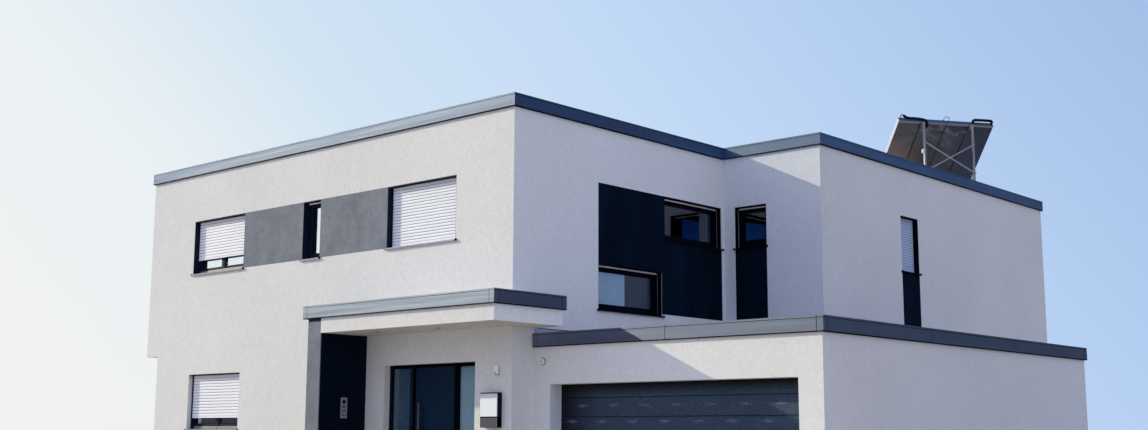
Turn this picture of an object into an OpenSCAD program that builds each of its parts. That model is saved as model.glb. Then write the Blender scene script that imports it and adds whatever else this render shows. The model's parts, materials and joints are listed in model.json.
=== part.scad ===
// Detached two-storey house with a flat roof, a rear wing, a double garage and a canopied entrance.
// Working axes: x runs to the right along the street front, y runs back into the plot, z is up from the
// ground.
// x = 0 is the right face of the main block and y = 0 is the street front.

/* [Main block] */
// Width of the street front
main_w = 10000; // [9400:10:10600]
// Depth of the right face, from the street front to the rear wing
notch_d = 5360; // [5200:10:5700]
// How far the rear wing stands out to the right
rear_w = 2005; // [1900:5:2200]
// Depth of the whole house
house_d = 14450; // [14300:10:15000]
// How far the ground storey is set in on the left
storey_inset = 390; // [300:10:450]
// Thickness of the outer walls
wall_t = 365; // [300:5:400]

/* [Levels] */
// Finished ground floor
floor_z = 225; // [150:5:300]
// Top of the ground storey walls
ceiling_z = 2870; // [2800:10:2900]
// Finished upper floor
upper_floor_z = 3130; // [3050:10:3200]
// Underside of the roof slab
roof_z = 5700; // [5600:10:5750]
// Top of the roof covering
deck_z = 6280; // [6150:10:6320]
// Top of the main coping
top_z = 6500; // [6450:10:6600]

/* [Copings] */
// Height of a coping's outer face
coping_h = 200; // [150:5:220]
// How far a coping stands out from the wall
coping_out = 40; // [30:1:50]
// Fall of a coping's top towards the roof
coping_fall = 30; // [10:1:40]
// Thickness of a coping's edges
coping_t = 12; // [8:1:16]

/* [Garage] */
// Set back of the garage front from the street front
garage_y0 = 470; // [440:5:600]
// Right face of the garage
garage_x = 4960; // [4900:10:5200]
// Back face of the garage
garage_y1 = 8850; // [8500:10:9500]
// Top of the garage coping
garage_top = 2895; // [2880:5:2930]
// Thickness of the garage walls
garage_t = 250; // [240:5:300]
// Left edge of the garage opening
gate_x = 328; // [300:1:400]
// Width of the garage opening
gate_w = 4265; // [4000:5:4300]
// Height of the garage opening
gate_h = 2135; // [2100:5:2200]
// Height of one of the door's four sections
section_h = 550; // [540:1:560]

/* [Canopy] */
// Front face of the canopy
canopy_y = -940; // [-1100:10:-900]
// Right face of the canopy
canopy_x = 563; // [500:1:600]
// Underside of the canopy
canopy_z = 2977; // [2960:1:3000]
// Top of the canopy's coping
canopy_top = 3420; // [3400:5:3450]
// Left face of the wing wall
wing_x = -3635; // [-3700:5:-3600]
// Thickness of the wing wall
wing_t = 325; // [250:5:350]

/* [Entrance] */
// Left edge of the door opening
door_x = -2855; // [-2900:5:-2800]
// Width of the door opening
door_w = 2085; // [2050:5:2100]
// Height of the door opening's head above the ground
door_z = 2485; // [2400:5:2520]
// Depth of the door's reveal
door_reveal = 120; // [100:5:150]
// Width of the side lights' glass
side_light_w = 445; // [420:5:450]
// Width of the door leaf
leaf_w = 945; // [920:1:950]
// Gap around the moving leaf
leaf_gap = 6; // [5:1:8]
// Gap beside the leaf's lock edge, which swings in
lock_gap = 10; // [10:1:12]

/* [Windows] */
// Width of a wide window
wide_w = 1635; // [1500:5:1700]
// Width of the middle front window
slit_w = 490; // [400:5:600]
// Width of the rear wing's windows
narrow_w = 662; // [600:2:700]
// Height of a tall window
tall_h = 1015; // [900:5:1050]
// Height of a low window
low_h = 740; // [700:5:760]
// Sill of the ground storey's windows
sill_ground = 1475; // [1400:5:1500]
// Sill of the upper storey's tall windows
sill_upper = 4383; // [4350:1:4400]
// Depth of a reveal in front of the shutter
reveal_d = 90; // [70:5:120]
// Visible width of a window's fixed frame
frame_w = 62; // [50:1:70]
// Height that a slat takes in a closed shutter
slat_h = 49.5; // [40:0.5:55]
// How much farther apart the slats hang while a shutter is partly open
slat_slack = 4.5; // [0:0.5:6]

/* [Roof collectors] */
// Width of one collector
collector_w = 1090; // [1050:5:1140]
// Length of a collector down its slope
collector_l = 2070; // [2000:5:2150]
// Thickness of a collector
collector_t = 100; // [80:1:110]
// Tilt of the collectors
collector_tilt = 43.3; // [42:0.1:48]
// Turn of the collectors' top edge from the street front
collector_turn = 55.1; // [53:0.1:58]

/* [Hidden] */

EPS = 1;
through = 2000;

// Centre of the house's footprint, which becomes the origin
centre_x = (garage_x - main_w) / 2;
centre_y = (canopy_y + house_d) / 2;

// Colours
white_render = [0.84, 0.84, 0.85];
grey_paint = [0.47, 0.49, 0.53];
anthracite = [0.13, 0.15, 0.19];
coping_paint = [0.33, 0.38, 0.46];
aluminium = [0.75, 0.76, 0.78];
shutter_paint = [0.86, 0.86, 0.87];
concrete = [0.6, 0.6, 0.58];

// Plan outlines, anticlockwise from the street front's left corner
main_outline = [[-main_w, 0], [0, 0], [0, notch_d], [rear_w, notch_d], [rear_w, house_d], [-main_w, house_d]];
garage_run = [[0, garage_y0], [garage_x, garage_y0], [garage_x, garage_y1], [rear_w, garage_y1]];
coping_left = wing_x - 58;
canopy_back = garage_y0 + 15;
canopy_run = [[coping_left, 0], [coping_left, canopy_y], [canopy_x, canopy_y], [canopy_x, canopy_back],
    [0, canopy_back]];

// Parapets end just under the metal of their coping
cap_t = 45;
main_parapet = top_z - cap_t;
garage_parapet = garage_top - cap_t;
canopy_parapet = canopy_top - cap_t;
garage_ceiling = 2450;
garage_deck = 2740;
garage_floor = 40;

// Faces that carry windows: a point on the face and the turn of its width axis
FRONT = [0, 0, 0];
SIDE = [0, 0, 90];
WING_FRONT = [0, notch_d, 0];
WING_SIDE = [rear_w, 0, 90];
BACK = [0, house_d, 180];
LEFT_UP = [-main_w, 0, -90];
LEFT_DOWN = [storey_inset - main_w, 0, -90];

// Windows: face, left edge along the face, sill, width, height, leaves, part left open by the shutter
front_ground_windows = [[FRONT, -8490, sill_ground, wide_w, tall_h, 2, 0.2]];
front_upper_windows = [
    [FRONT, -8520, sill_upper, wide_w, tall_h, 2, 0.25],
    [FRONT, -5135, sill_upper, slit_w, tall_h, 1, 1],
    [FRONT, -2885, sill_upper, wide_w, tall_h, 2, 0]];
low_sill = 3360;
high_sill = 4660;
side_windows = [
    [SIDE, 1930, low_sill, wide_w, low_h, 1, 1],
    [SIDE, 3640, high_sill, wide_w, low_h, 1, 1]];
wing_front_windows = [[WING_FRONT, 237, high_sill, narrow_w, low_h, 1, 1]];
wing_side_upper_windows = [[WING_SIDE, 8105, sill_upper, narrow_w, tall_h + 15, 1, 0]];
wing_side_ground_windows = [[WING_SIDE, 11000, sill_ground, wide_w, tall_h, 2, 1]];
left_ground_windows = [for (y = [3300, 10200]) [LEFT_DOWN, -y - wide_w, sill_ground, wide_w, tall_h, 2, 1]];
left_upper_windows = [for (y = [3300, 10200]) [LEFT_UP, -y - wide_w, sill_upper, wide_w, tall_h, 2, 1]];
back_ground_windows = [for (x = [-400, 3700, 7600]) [BACK, x, sill_ground, wide_w, tall_h, 2, 1]];
back_upper_windows = [for (x = [-400, 3700, 7600]) [BACK, x, sill_upper, wide_w, tall_h, 2, 1]];
front_windows = concat(front_ground_windows, front_upper_windows);
right_windows = concat(side_windows, wing_front_windows, wing_side_upper_windows);
rear_windows = concat(wing_side_ground_windows, left_ground_windows, left_upper_windows, back_ground_windows,
    back_upper_windows);

// Coloured render fields lie flush in the white render
render_t = 15;
field_bottom = 3390;
field_top = sill_upper + tall_h;

module placed() {
    translate([-centre_x, -centre_y, 0]) children();
}

// A box from its lowest to its highest corner
module block(low, high) {
    translate(low) cube(high - low);
}

// Moves a shape drawn at a face's outer corner to a place along that face
module on_face(face, along, z) {
    translate([face[0], face[1], 0]) rotate([0, 0, face[2]]) translate([along, 0, z]) children();
}

module cut_windows(windows) {
    for (w = windows)
        on_face(w[0], w[1], w[2]) translate([0, -EPS, 0]) cube([w[3], wall_t + 2 * EPS, w[4]]);
}

// A straight coping: its section is cut to mitres in plan
function unit(v) = v / norm(v);
function outward(a, b) = [unit(b - a)[1], -unit(b - a)[0]];

module coping_side(a, b, before, after, top, width) {
    n = outward(a, b);
    t = unit(b - a);
    reach = width + coping_out;
    inner_foot = top - coping_fall - 70;
    section = [
        [coping_out, top - coping_h], [coping_out, top],
        [-width, top - coping_fall], [-width, inner_foot],
        [coping_t - width, inner_foot], [coping_t - width, top - cap_t],
        [coping_out - coping_t, top - cap_t], [coping_out - coping_t, top - coping_h]];
    plan = [
        a + coping_out * (n + before), b + coping_out * (n + after),
        b - width * (n + after), a - width * (n + before)];
    intersection() {
        translate([b[0] + t[0] * reach, b[1] + t[1] * reach, 0]) rotate([0, 0, atan2(n[1], n[0])])
            rotate([90, 0, 0]) linear_extrude(norm(b - a) + 2 * reach) polygon(section);
        translate([0, 0, top - 2 * coping_h]) linear_extrude(3 * coping_h) polygon(plan);
    }
}

module coping(points, closed, top, width) {
    count = len(points);
    last = closed ? count - 1 : count - 2;
    for (i = [0 : last]) {
        a = points[i];
        b = points[(i + 1) % count];
        square_start = !closed && i == 0;
        square_end = !closed && i == last;
        before = square_start ? [0, 0] : outward(points[(i + count - 1) % count], a);
        after = square_end ? [0, 0] : outward(b, points[(i + 2) % count]);
        coping_side(a, b, before, after, top, width);
    }
}

// Floors

module ground_slab() color(concrete) {
    x0 = storey_inset - main_w + wall_t;
    linear_extrude(floor_z) polygon([
        [x0, wall_t], [door_x, wall_t], [door_x, 0], [door_x + door_w, 0], [door_x + door_w, wall_t],
        [-wall_t, wall_t], [-wall_t, notch_d + wall_t], [rear_w - wall_t, notch_d + wall_t],
        [rear_w - wall_t, house_d - wall_t], [x0, house_d - wall_t]]);
}

module garage_slab() color(concrete) {
    linear_extrude(garage_floor) polygon([
        [0, garage_y0 + garage_t], [gate_x, garage_y0 + garage_t], [gate_x, garage_y0],
        [gate_x + gate_w, garage_y0], [gate_x + gate_w, garage_y0 + garage_t],
        [garage_x - garage_t, garage_y0 + garage_t], [garage_x - garage_t, garage_y1 - garage_t],
        [rear_w, garage_y1 - garage_t], [rear_w, notch_d], [0, notch_d]]);
}

module entrance_step() color(concrete) {
    block([wing_x + wing_t, canopy_y, 0], [0, 0, 150]);
}

module inner_plan(inset) {
    polygon([
        [-main_w + inset, inset], [-inset, inset], [-inset, notch_d + inset],
        [rear_w - inset, notch_d + inset], [rear_w - inset, house_d - inset],
        [-main_w + inset, house_d - inset]]);
}

module upper_floor() color(concrete) {
    translate([0, 0, ceiling_z]) linear_extrude(upper_floor_z - ceiling_z) inner_plan(wall_t);
}

module roof_slab() color(concrete) {
    translate([0, 0, roof_z]) linear_extrude(200) inner_plan(wall_t);
}

module roof_covering() color([0.45, 0.45, 0.44]) {
    translate([0, 0, roof_z + 200]) linear_extrude(deck_z - roof_z - 200) inner_plan(wall_t);
}

// Ground storey walls

module front_wall_ground_left() color(white_render) difference() {
    block([storey_inset - main_w, 0, 0], [door_x, wall_t, ceiling_z]);
    cut_windows(front_ground_windows);
}

module front_wall_ground_right() color(white_render) {
    block([door_x + door_w, 0, 0], [0, wall_t, ceiling_z]);
}

module door_lintel() color(white_render) {
    block([door_x, 0, door_z], [door_x + door_w, wall_t, ceiling_z]);
}

module left_wall_ground() color(white_render) difference() {
    block([storey_inset - main_w, wall_t, 0], [storey_inset - main_w + wall_t, house_d, ceiling_z]);
    cut_windows(left_ground_windows);
}

module back_wall_ground() color(white_render) difference() {
    block([storey_inset - main_w + wall_t, house_d - wall_t, 0], [rear_w, house_d, ceiling_z]);
    cut_windows(back_ground_windows);
}

module side_wall_ground() color(white_render) {
    block([-wall_t, wall_t, 0], [0, notch_d + wall_t, ceiling_z]);
}

module wing_front_wall_ground() color(white_render) {
    block([0, notch_d, 0], [rear_w, notch_d + wall_t, ceiling_z]);
}

module wing_side_wall_ground() color(white_render) difference() {
    block([rear_w - wall_t, notch_d + wall_t, 0], [rear_w, house_d - wall_t, ceiling_z]);
    cut_windows(wing_side_ground_windows);
}

// Upper storey walls, which rise past the roof as parapets

module front_wall_upper() color(white_render) difference() {
    block([-main_w, 0, ceiling_z], [0, wall_t, main_parapet]);
    cut_windows(front_upper_windows);
    grey_fields();
}

module left_wall_upper() color(white_render) difference() {
    block([-main_w, wall_t, ceiling_z], [-main_w + wall_t, house_d, main_parapet]);
    cut_windows(left_upper_windows);
}

module back_wall_upper() color(white_render) difference() {
    block([-main_w + wall_t, house_d - wall_t, ceiling_z], [rear_w, house_d, main_parapet]);
    cut_windows(back_upper_windows);
}

module side_wall_upper() color(white_render) difference() {
    block([-wall_t, wall_t, ceiling_z], [0, notch_d + wall_t, main_parapet]);
    cut_windows(side_windows);
    dark_fields();
}

module wing_front_wall_upper() color(white_render) difference() {
    block([0, notch_d, ceiling_z], [rear_w, notch_d + wall_t, main_parapet]);
    cut_windows(wing_front_windows);
    dark_fields();
}

module wing_side_wall_upper() color(white_render) difference() {
    block([rear_w - wall_t, notch_d + wall_t, ceiling_z], [rear_w, house_d - wall_t, main_parapet]);
    cut_windows(wing_side_upper_windows);
    dark_fields();
}

// Coloured render fields

module grey_fields() {
    for (i = [0 : len(front_upper_windows) - 2]) {
        w = front_upper_windows[i];
        x1 = front_upper_windows[i + 1][1];
        block([w[1] + w[3], -EPS, sill_upper], [x1, render_t, field_top]);
    }
}

module grey_render() color(grey_paint) intersection() {
    grey_fields();
    block([-main_w, 0, ceiling_z], [0, wall_t, main_parapet]);
}

module dark_fields() {
    side_end = side_windows[1][1] + wide_w;
    difference() {
        block([-render_t, side_windows[0][1], field_bottom], [EPS, side_end, field_top]);
        cut_windows(side_windows);
    }
    for (w = wing_front_windows)
        on_face(w[0], w[1], 0) block([0, -EPS, field_bottom], [w[3], render_t, w[2]]);
    for (w = wing_side_upper_windows)
        on_face(w[0], w[1], 0) block([0, -EPS, field_bottom], [w[3], render_t, w[2]]);
}

module dark_render() color(anthracite) {
    intersection() {
        dark_fields();
        union() {
            block([-wall_t, 0, 0], [0, notch_d, top_z]);
            block([0, notch_d, 0], [rear_w, house_d, top_z]);
        }
    }
    block([wing_x + wing_t - render_t, canopy_y + render_t, 0], [wing_x + wing_t, 0, canopy_z]);
}

// Copings

module main_coping() color(coping_paint) {
    coping(main_outline, true, top_z, wall_t + coping_t);
}

module garage_coping() color(coping_paint) {
    coping(garage_run, false, garage_top, garage_t + coping_t);
}

module canopy_coping() color(coping_paint) {
    coping(canopy_run, false, canopy_top, canopy_coping_w);
}

// Garage

module garage_front_wall() color(white_render) difference() {
    block([0, garage_y0, 0], [garage_x, garage_y0 + garage_t, garage_parapet]);
    block([gate_x, 0, -EPS], [gate_x + gate_w, through, gate_h]);
}

module garage_side_wall() color(white_render) {
    block([garage_x - garage_t, garage_y0 + garage_t, 0], [garage_x, garage_y1, garage_parapet]);
}

module garage_back_wall() color(white_render) {
    block([rear_w, garage_y1 - garage_t, 0], [garage_x - garage_t, garage_y1, garage_parapet]);
}

module garage_roof() color([0.45, 0.45, 0.44]) {
    translate([0, 0, garage_ceiling]) linear_extrude(garage_deck - garage_ceiling) polygon([
        [0, garage_y0 + garage_t], [garage_x - garage_t, garage_y0 + garage_t],
        [garage_x - garage_t, garage_y1 - garage_t], [rear_w, garage_y1 - garage_t], [rear_w, notch_d],
        [0, notch_d]]);
}

// Sectional door behind the opening: four sections with two ribs each, the lowest one cut off at the floor
door_t = 42;
groove_d = 8;
groove_slope = 10;
door_cut = 30;

function rib_z(i) = max(0, i * section_h / 2 - door_cut);

module garage_door() color(anthracite) {
    overlap = 45;
    profile = concat(
        [[door_t, 0], [door_t, rib_z(8)]],
        [for (i = [7 : -1 : 0]) each [
            [groove_d, rib_z(i + 1)], [0, rib_z(i + 1) - groove_slope], [0, rib_z(i) + groove_slope],
            [groove_d, rib_z(i)]]]);
    translate([gate_x - overlap, garage_y0 + garage_t, garage_floor]) rotate([90, 0, 90])
        linear_extrude(gate_w + 2 * overlap) polygon(profile);
}

// Canopy and wing wall
canopy_coping_w = 200;
canopy_deck = canopy_top - 150;
light_places = [[-2465, -491], [-1136, -432]];
light_d = 90;
light_rim = 12;
light_depth = 34;

// The roof between the copings lies lower
module canopy_recess() {
    edge = canopy_coping_w - coping_t;
    translate([0, 0, canopy_deck]) linear_extrude(through)
        polygon([[coping_left + edge, canopy_y + edge], [canopy_x - edge, canopy_y + edge],
            [canopy_x - edge, canopy_back - edge], [-EPS, canopy_back - edge], [-EPS, EPS],
            [coping_left + edge, EPS]]);
}

module canopy() color(white_render) difference() {
    union() {
        block([wing_x + wing_t, canopy_y, canopy_z], [0, 0, canopy_parapet]);
        block([0, canopy_y, canopy_z], [canopy_x, canopy_back, canopy_parapet]);
    }
    canopy_recess();
    for (place = light_places)
        translate([place[0], place[1], canopy_z - EPS]) cylinder(h = light_depth, d = light_d + 2, $fn = 32);
}

module wing_wall() color(grey_paint) difference() {
    block([wing_x, canopy_y, 0], [wing_x + wing_t, 0, canopy_parapet]);
    block([wing_x + wing_t - render_t, canopy_y + render_t, -EPS], [through, through, canopy_z]);
    canopy_recess();
}

module soffit_lights() color(aluminium)
    for (place = light_places) translate([place[0], place[1], canopy_z - 4]) difference() {
        cylinder(h = light_depth, d = light_d, $fn = 32);
        translate([0, 0, -EPS]) cylinder(h = light_depth - 14, d = light_d - 2 * light_rim, $fn = 32);
    }

// Entrance: side lights and a leaf that hangs on the right post and opens inwards
frame_edge = 45;
frame_d = 75;
glass_t = 24;
glass_inset = 30;
post_w = (door_w - 2 * frame_edge - 2 * side_light_w - leaf_w - leaf_gap - lock_gap) / 2;
leaf_x = door_x + frame_edge + side_light_w + post_w + lock_gap;
leaf_top = door_z - frame_edge - leaf_gap;
leaf_bottom = floor_z + 12;
hinge_x = leaf_x + leaf_w + leaf_gap / 2;
hinge_y = door_reveal + frame_d + 8;
hinge_z = [floor_z + 210, floor_z + 1080, leaf_top - 210];
hinge_h = 110;
knuckle_h = 36;
knuckle_d = 14;
pin_d = 8;

// One flap of a hinge: a barrel on the pin and a plate on the inside of the frame or the leaf
module hinge_flap(side, z, height) {
    translate([hinge_x, hinge_y, z]) cylinder(h = height, d = knuckle_d, $fn = 32);
    near = side * 2;
    far = side * 50;
    block([hinge_x + min(near, far), hinge_y - 8, z], [hinge_x + max(near, far), hinge_y - 4, z + height]);
}

module frame_hinges() {
    for (z = hinge_z) {
        for (end = [0, hinge_h - knuckle_h]) hinge_flap(1, z + end, knuckle_h);
        translate([hinge_x, hinge_y, z]) cylinder(h = hinge_h, d = pin_d, $fn = 32);
    }
}

module leaf_hinges() difference() {
    for (z = hinge_z) hinge_flap(-1, z + knuckle_h + 1, hinge_h - 2 * knuckle_h - 2);
    for (z = hinge_z) translate([hinge_x, hinge_y, z]) cylinder(h = hinge_h, d = pin_d + 1, $fn = 32);
}

module door_frame() color(anthracite) {
    difference() {
        block([door_x, door_reveal, floor_z], [door_x + door_w, door_reveal + frame_d, door_z]);
        for (x = [door_x + frame_edge, door_x + door_w - frame_edge - side_light_w])
            block([x, 0, floor_z + frame_edge], [x + side_light_w, through, door_z - frame_edge]);
        block([leaf_x - lock_gap, 0, floor_z - EPS],
            [leaf_x + leaf_w + leaf_gap, through, door_z - frame_edge]);
    }
    frame_hinges();
}

module side_light_glass() color([0.35, 0.42, 0.48, 0.6]) {
    y = door_reveal + glass_inset;
    for (x = [door_x + frame_edge, door_x + door_w - frame_edge - side_light_w])
        block([x, y, floor_z + frame_edge], [x + side_light_w, y + glass_t, door_z - frame_edge]);
}

// The leaf's outer sheet lies in a narrow groove, with a wider margin on its lock side and at its foot
sheet_margin = [57, 80, 20];

module front_door() color(anthracite) {
    sheet_low = [leaf_x + sheet_margin[0], door_reveal, leaf_bottom + sheet_margin[1]];
    sheet_high = [leaf_x + leaf_w - sheet_margin[2], door_reveal, leaf_top - sheet_margin[2]];
    groove = [6, 0, 6];
    depth = [0, 4, 0];
    difference() {
        block([leaf_x, door_reveal, leaf_bottom], [leaf_x + leaf_w, door_reveal + frame_d, leaf_top]);
        difference() {
            block(sheet_low - [0, EPS, 0], sheet_high + depth);
            block(sheet_low + groove - [0, 2 * EPS, 0], sheet_high - groove + 2 * depth);
        }
    }
    leaf_hinges();
}

// A long bar on two stand-offs
handle_z = [690, 1881];
handle_d = 38;
handle_out = 62;
handle_in = 200;

module door_handle() color(aluminium) {
    x = leaf_x + handle_in;
    y = door_reveal - handle_out;
    translate([x, y, handle_z[0]]) cylinder(h = handle_z[1] - handle_z[0], d = handle_d, $fn = 32);
    for (z = [handle_z[0] + 180, handle_z[1] - 180])
        translate([x, y, z]) rotate([-90, 0, 0]) cylinder(h = handle_out, d = handle_d / 2, $fn = 24);
}

// Windows: drawn with x across the opening, y into the wall and z up from the sill
shutter_y = reveal_d;
frame_y = reveal_d + 32;
frame_depth = 70;
leaf_edge = 42;
leaf_depth = 50;
lining_t = 8;
head_t = 18;
rail_w = 40;
rail_slot = [22, 16];
sill_rise = 14;
end_bar_h = 28;
shutter_rest = 2;

// Width of one of a window's leaves, and the left edge of leaf i
function pane_w(w, leaves) = (w - (leaves + 1) * frame_w) / leaves;
function pane_x(w, leaves, i) = frame_w + i * (pane_w(w, leaves) + frame_w);

module ring(w, h, edge, depth) {
    difference() {
        cube([w, depth, h]);
        translate([edge, -EPS, edge]) cube([w - 2 * edge, depth + 2 * EPS, h - 2 * edge]);
    }
}

// Fixed frame, opening leaves, guide rails of the shutter and the lining of the reveal
module window_frame(w, h, leaves, lined) {
    difference() {
        translate([0, frame_y, 0]) cube([w, frame_depth, h]);
        for (i = [0 : leaves - 1])
            translate([pane_x(w, leaves, i), frame_y - EPS, frame_w])
                cube([pane_w(w, leaves), frame_depth + 2 * EPS, h - 2 * frame_w]);
    }
    for (i = [0 : leaves - 1])
        translate([pane_x(w, leaves, i), frame_y + 12, frame_w])
            ring(pane_w(w, leaves), h - 2 * frame_w, leaf_edge, leaf_depth);
    for (x = [0, w - rail_w]) translate([x, shutter_y - 8, sill_rise]) difference() {
        cube([rail_w, frame_y - shutter_y + 8, h - sill_rise]);
        translate([x == 0 ? rail_w - rail_slot[0] : -EPS, 6, -EPS])
            cube([rail_slot[0] + EPS, rail_slot[1], h + 2 * EPS]);
    }
    if (lined) {
        for (x = [0, w - lining_t])
            translate([x, 4, sill_rise]) cube([lining_t, shutter_y - 12, h - sill_rise]);
        translate([0, 4, h - head_t]) cube([w, frame_y - 4, head_t]);
    }
}

module window_glass(w, h, leaves) {
    low = frame_w + leaf_edge;
    for (i = [0 : leaves - 1])
        translate([pane_x(w, leaves, i) + leaf_edge, frame_y + glass_inset, low])
            cube([pane_w(w, leaves) - 2 * leaf_edge, glass_t, h - 2 * low]);
}

// Roller shutter: slats bowed outwards, hanging from behind the lintel down to the end bar. An open one shows
// its end bar alone. The slats of one that is partly open hang a little apart, and a closed one's end bar
// reaches down to the sill.
module window_shutter(w, h, open) {
    pitch = open > 0 ? slat_h + slat_slack : slat_h;
    in_rail = rail_slot[0] - 4;
    top = h - head_t;
    drop = min(h * (1 - open), top - sill_rise - shutter_rest);
    slats = max(0, floor((drop - end_bar_h) / pitch));
    bar_top = top - slats * pitch;
    bar_low = open > 0 ? bar_top - end_bar_h : sill_rise + shutter_rest;
    slat_faces = [for (i = [0 : 1 : slats - 1]) each [
        [2, top - i * pitch], [-2, top - (i + 0.3) * pitch], [-2, top - (i + 0.7) * pitch],
        [2, top - (i + 0.93) * pitch]]];
    slat_back = slats > 0 ? [[10, bar_top], [10, top]] : [];
    end_bar = [[-3, bar_top], [-3, bar_low], [11, bar_low], [11, bar_top]];
    translate([rail_w - in_rail, shutter_y + 3, 0]) rotate([90, 0, 90])
        linear_extrude(w - 2 * (rail_w - in_rail)) polygon(concat(slat_faces, end_bar, slat_back));
}

// Metal sill with a drip edge and upturned ends
module window_sill(w) {
    out = 38;
    side = 22;
    translate([-side, 0, 0]) rotate([90, 0, 90]) linear_extrude(w + 2 * side) polygon([
        [-out, -24], [-out, -2], [-1, 4], [-1, -10], [4 - out, -14], [4 - out, -24]]);
    translate([0, -1, 0]) rotate([90, 0, 90]) linear_extrude(w)
        polygon([[0, -10], [0, 4], [frame_y, 12], [frame_y, 0], [1, 0], [1, -10]]);
}

module all_frames(windows, lined) {
    for (w = windows) on_face(w[0], w[1], w[2]) window_frame(w[3], w[4], w[5], lined);
}

module all_glass(windows) {
    for (w = windows) on_face(w[0], w[1], w[2]) window_glass(w[3], w[4], w[5]);
}

module all_shutters(windows) {
    for (w = windows) on_face(w[0], w[1], w[2]) window_shutter(w[3], w[4], w[6]);
}

module all_sills(windows) {
    for (w = windows) on_face(w[0], w[1], w[2]) window_sill(w[3]);
}

module front_window_frames() color(anthracite) {
    all_frames(front_ground_windows, false);
    all_frames(front_upper_windows, true);
}
module front_window_glass() color([0.35, 0.42, 0.48, 0.6]) all_glass(front_windows);
module front_shutters() color(shutter_paint) all_shutters(front_windows);
module front_sills() color(aluminium) all_sills(front_windows);
module side_window_frames() color(anthracite) all_frames(right_windows, true);
module side_window_glass() color([0.35, 0.42, 0.48, 0.6]) all_glass(right_windows);
module side_shutters() color(shutter_paint) all_shutters(right_windows);
module side_sills() color(anthracite) all_sills(right_windows);
module rear_window_frames() color(anthracite) all_frames(rear_windows, false);
module rear_window_glass() color([0.35, 0.42, 0.48, 0.6]) all_glass(rear_windows);
module rear_shutters() color(shutter_paint) all_shutters(rear_windows);
module rear_sills() color(aluminium) all_sills(rear_windows);

// Letter box beside the entrance, with a newspaper tube below it; its front hangs on a pin at the left edge
box_x = -545;
box_w = 350;
box_d = 100;
box_z = [1662, 2012];
tube_z = 1503;
box_wall = 8;
hood_t = 12;
lid_t = 12;
lid_gap = 6;
lid_top = box_z[1] - hood_t - 5;
lid_y = -box_d - lid_gap;
lid_pin_x = box_x - 4;
lid_pin_y = lid_y + lid_t / 2;
lid_barrel_z = [box_z[0] + 40, box_z[1] - 90];
lid_barrel_h = 50;
arm_h = 12;

module letter_box() color(anthracite) {
    difference() {
        block([box_x, lid_t - box_d, box_z[0]], [box_x + box_w, 0, box_z[1]]);
        block([box_x + box_wall, -through, box_z[0] + box_wall],
            [box_x + box_w - box_wall, -box_wall, box_z[1] - box_wall]);
    }
    block([box_x, lid_y - 2, box_z[1] - hood_t], [box_x + box_w, lid_t - box_d + EPS, box_z[1]]);
    difference() {
        block([box_x, -box_d, tube_z], [box_x + box_w, 0, box_z[0]]);
        block([box_x - EPS, box_wall - box_d, tube_z + box_wall], [box_x + box_w + EPS, -box_wall, box_z[0]]);
        block([box_x - EPS, -box_d - EPS, box_z[0] - 10],
            [box_x + box_w + EPS, lid_t - box_d, box_z[0] + EPS]);
    }
    for (z = lid_barrel_z) {
        translate([lid_pin_x, lid_pin_y, z - arm_h - 1])
            cylinder(h = lid_barrel_h + 2 * arm_h + 2, d = 4, $fn = 24);
        for (arm_z = [z - arm_h - 1, z + lid_barrel_h + 1]) {
            translate([lid_pin_x, lid_pin_y, arm_z]) cylinder(h = arm_h, d = 9, $fn = 24);
            block([lid_pin_x - 4, lid_pin_y, arm_z], [box_x, lid_pin_y + 40, arm_z + arm_h]);
        }
    }
}

module letter_box_door() color(aluminium) difference() {
    union() {
        difference() {
            block([box_x, lid_y, box_z[0]], [box_x + box_w, lid_y + lid_t, lid_top]);
            for (z = lid_barrel_z) block([box_x - EPS, lid_y - EPS, z - arm_h - 3],
                [box_x + 6, lid_y + lid_t + EPS, z + lid_barrel_h + arm_h + 3]);
        }
        for (z = lid_barrel_z) {
            translate([lid_pin_x, lid_pin_y, z]) cylinder(h = lid_barrel_h, d = 9, $fn = 24);
            block([lid_pin_x, lid_pin_y - 4, z], [box_x + 8, lid_pin_y + 2, z + lid_barrel_h]);
        }
    }
    for (z = lid_barrel_z) translate([lid_pin_x, lid_pin_y, z - EPS])
        cylinder(h = lid_barrel_h + 2 * EPS, d = 5, $fn = 24);
}

// Door station on the wing wall's inner face: a lens and three rows of plain recesses below it
station_y = -443;
station_w = 124;
station_z = [1650, 1977];
station_t = 14;
lens_d = 60;
// Each row: height of its middle, places from the station's middle, width and height of a recess
station_rows = [
    [1829, [-18, 18], 16, 37],
    [1769, [-18, 18], 16, 27],
    [1701, [-35, 0, 35], 12, 16]];

module door_station() color(aluminium) translate([wing_x + wing_t, station_y, 0]) difference() {
    block([0, -station_w / 2, station_z[0]], [station_t, station_w / 2, station_z[1]]);
    translate([station_t - 8, 0, 1908]) rotate([0, 90, 0]) cylinder(h = station_t, d = lens_d, $fn = 32);
    for (row = station_rows) for (y = row[1])
        block([station_t - 3, y - row[2] / 2, row[0] - row[3] / 2],
            [station_t + EPS, y + row[2] / 2, row[0] + row[3] / 2]);
}

// A movement sensor with a round lens beside the entrance, and a round sensor over the garage opening
module wall_sensors() color(white_render) {
    block([-335, -42, 2276], [-262, 0, 2403]);
    translate([-298.5, -38, 2284]) cylinder(h = 54, d = 56, $fn = 32);
    translate([180, garage_y0, 2469]) rotate([90, 0, 0]) {
        cylinder(h = 16, d = 92, $fn = 32);
        cylinder(h = 24, d = 70, $fn = 32);
    }
}

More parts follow.
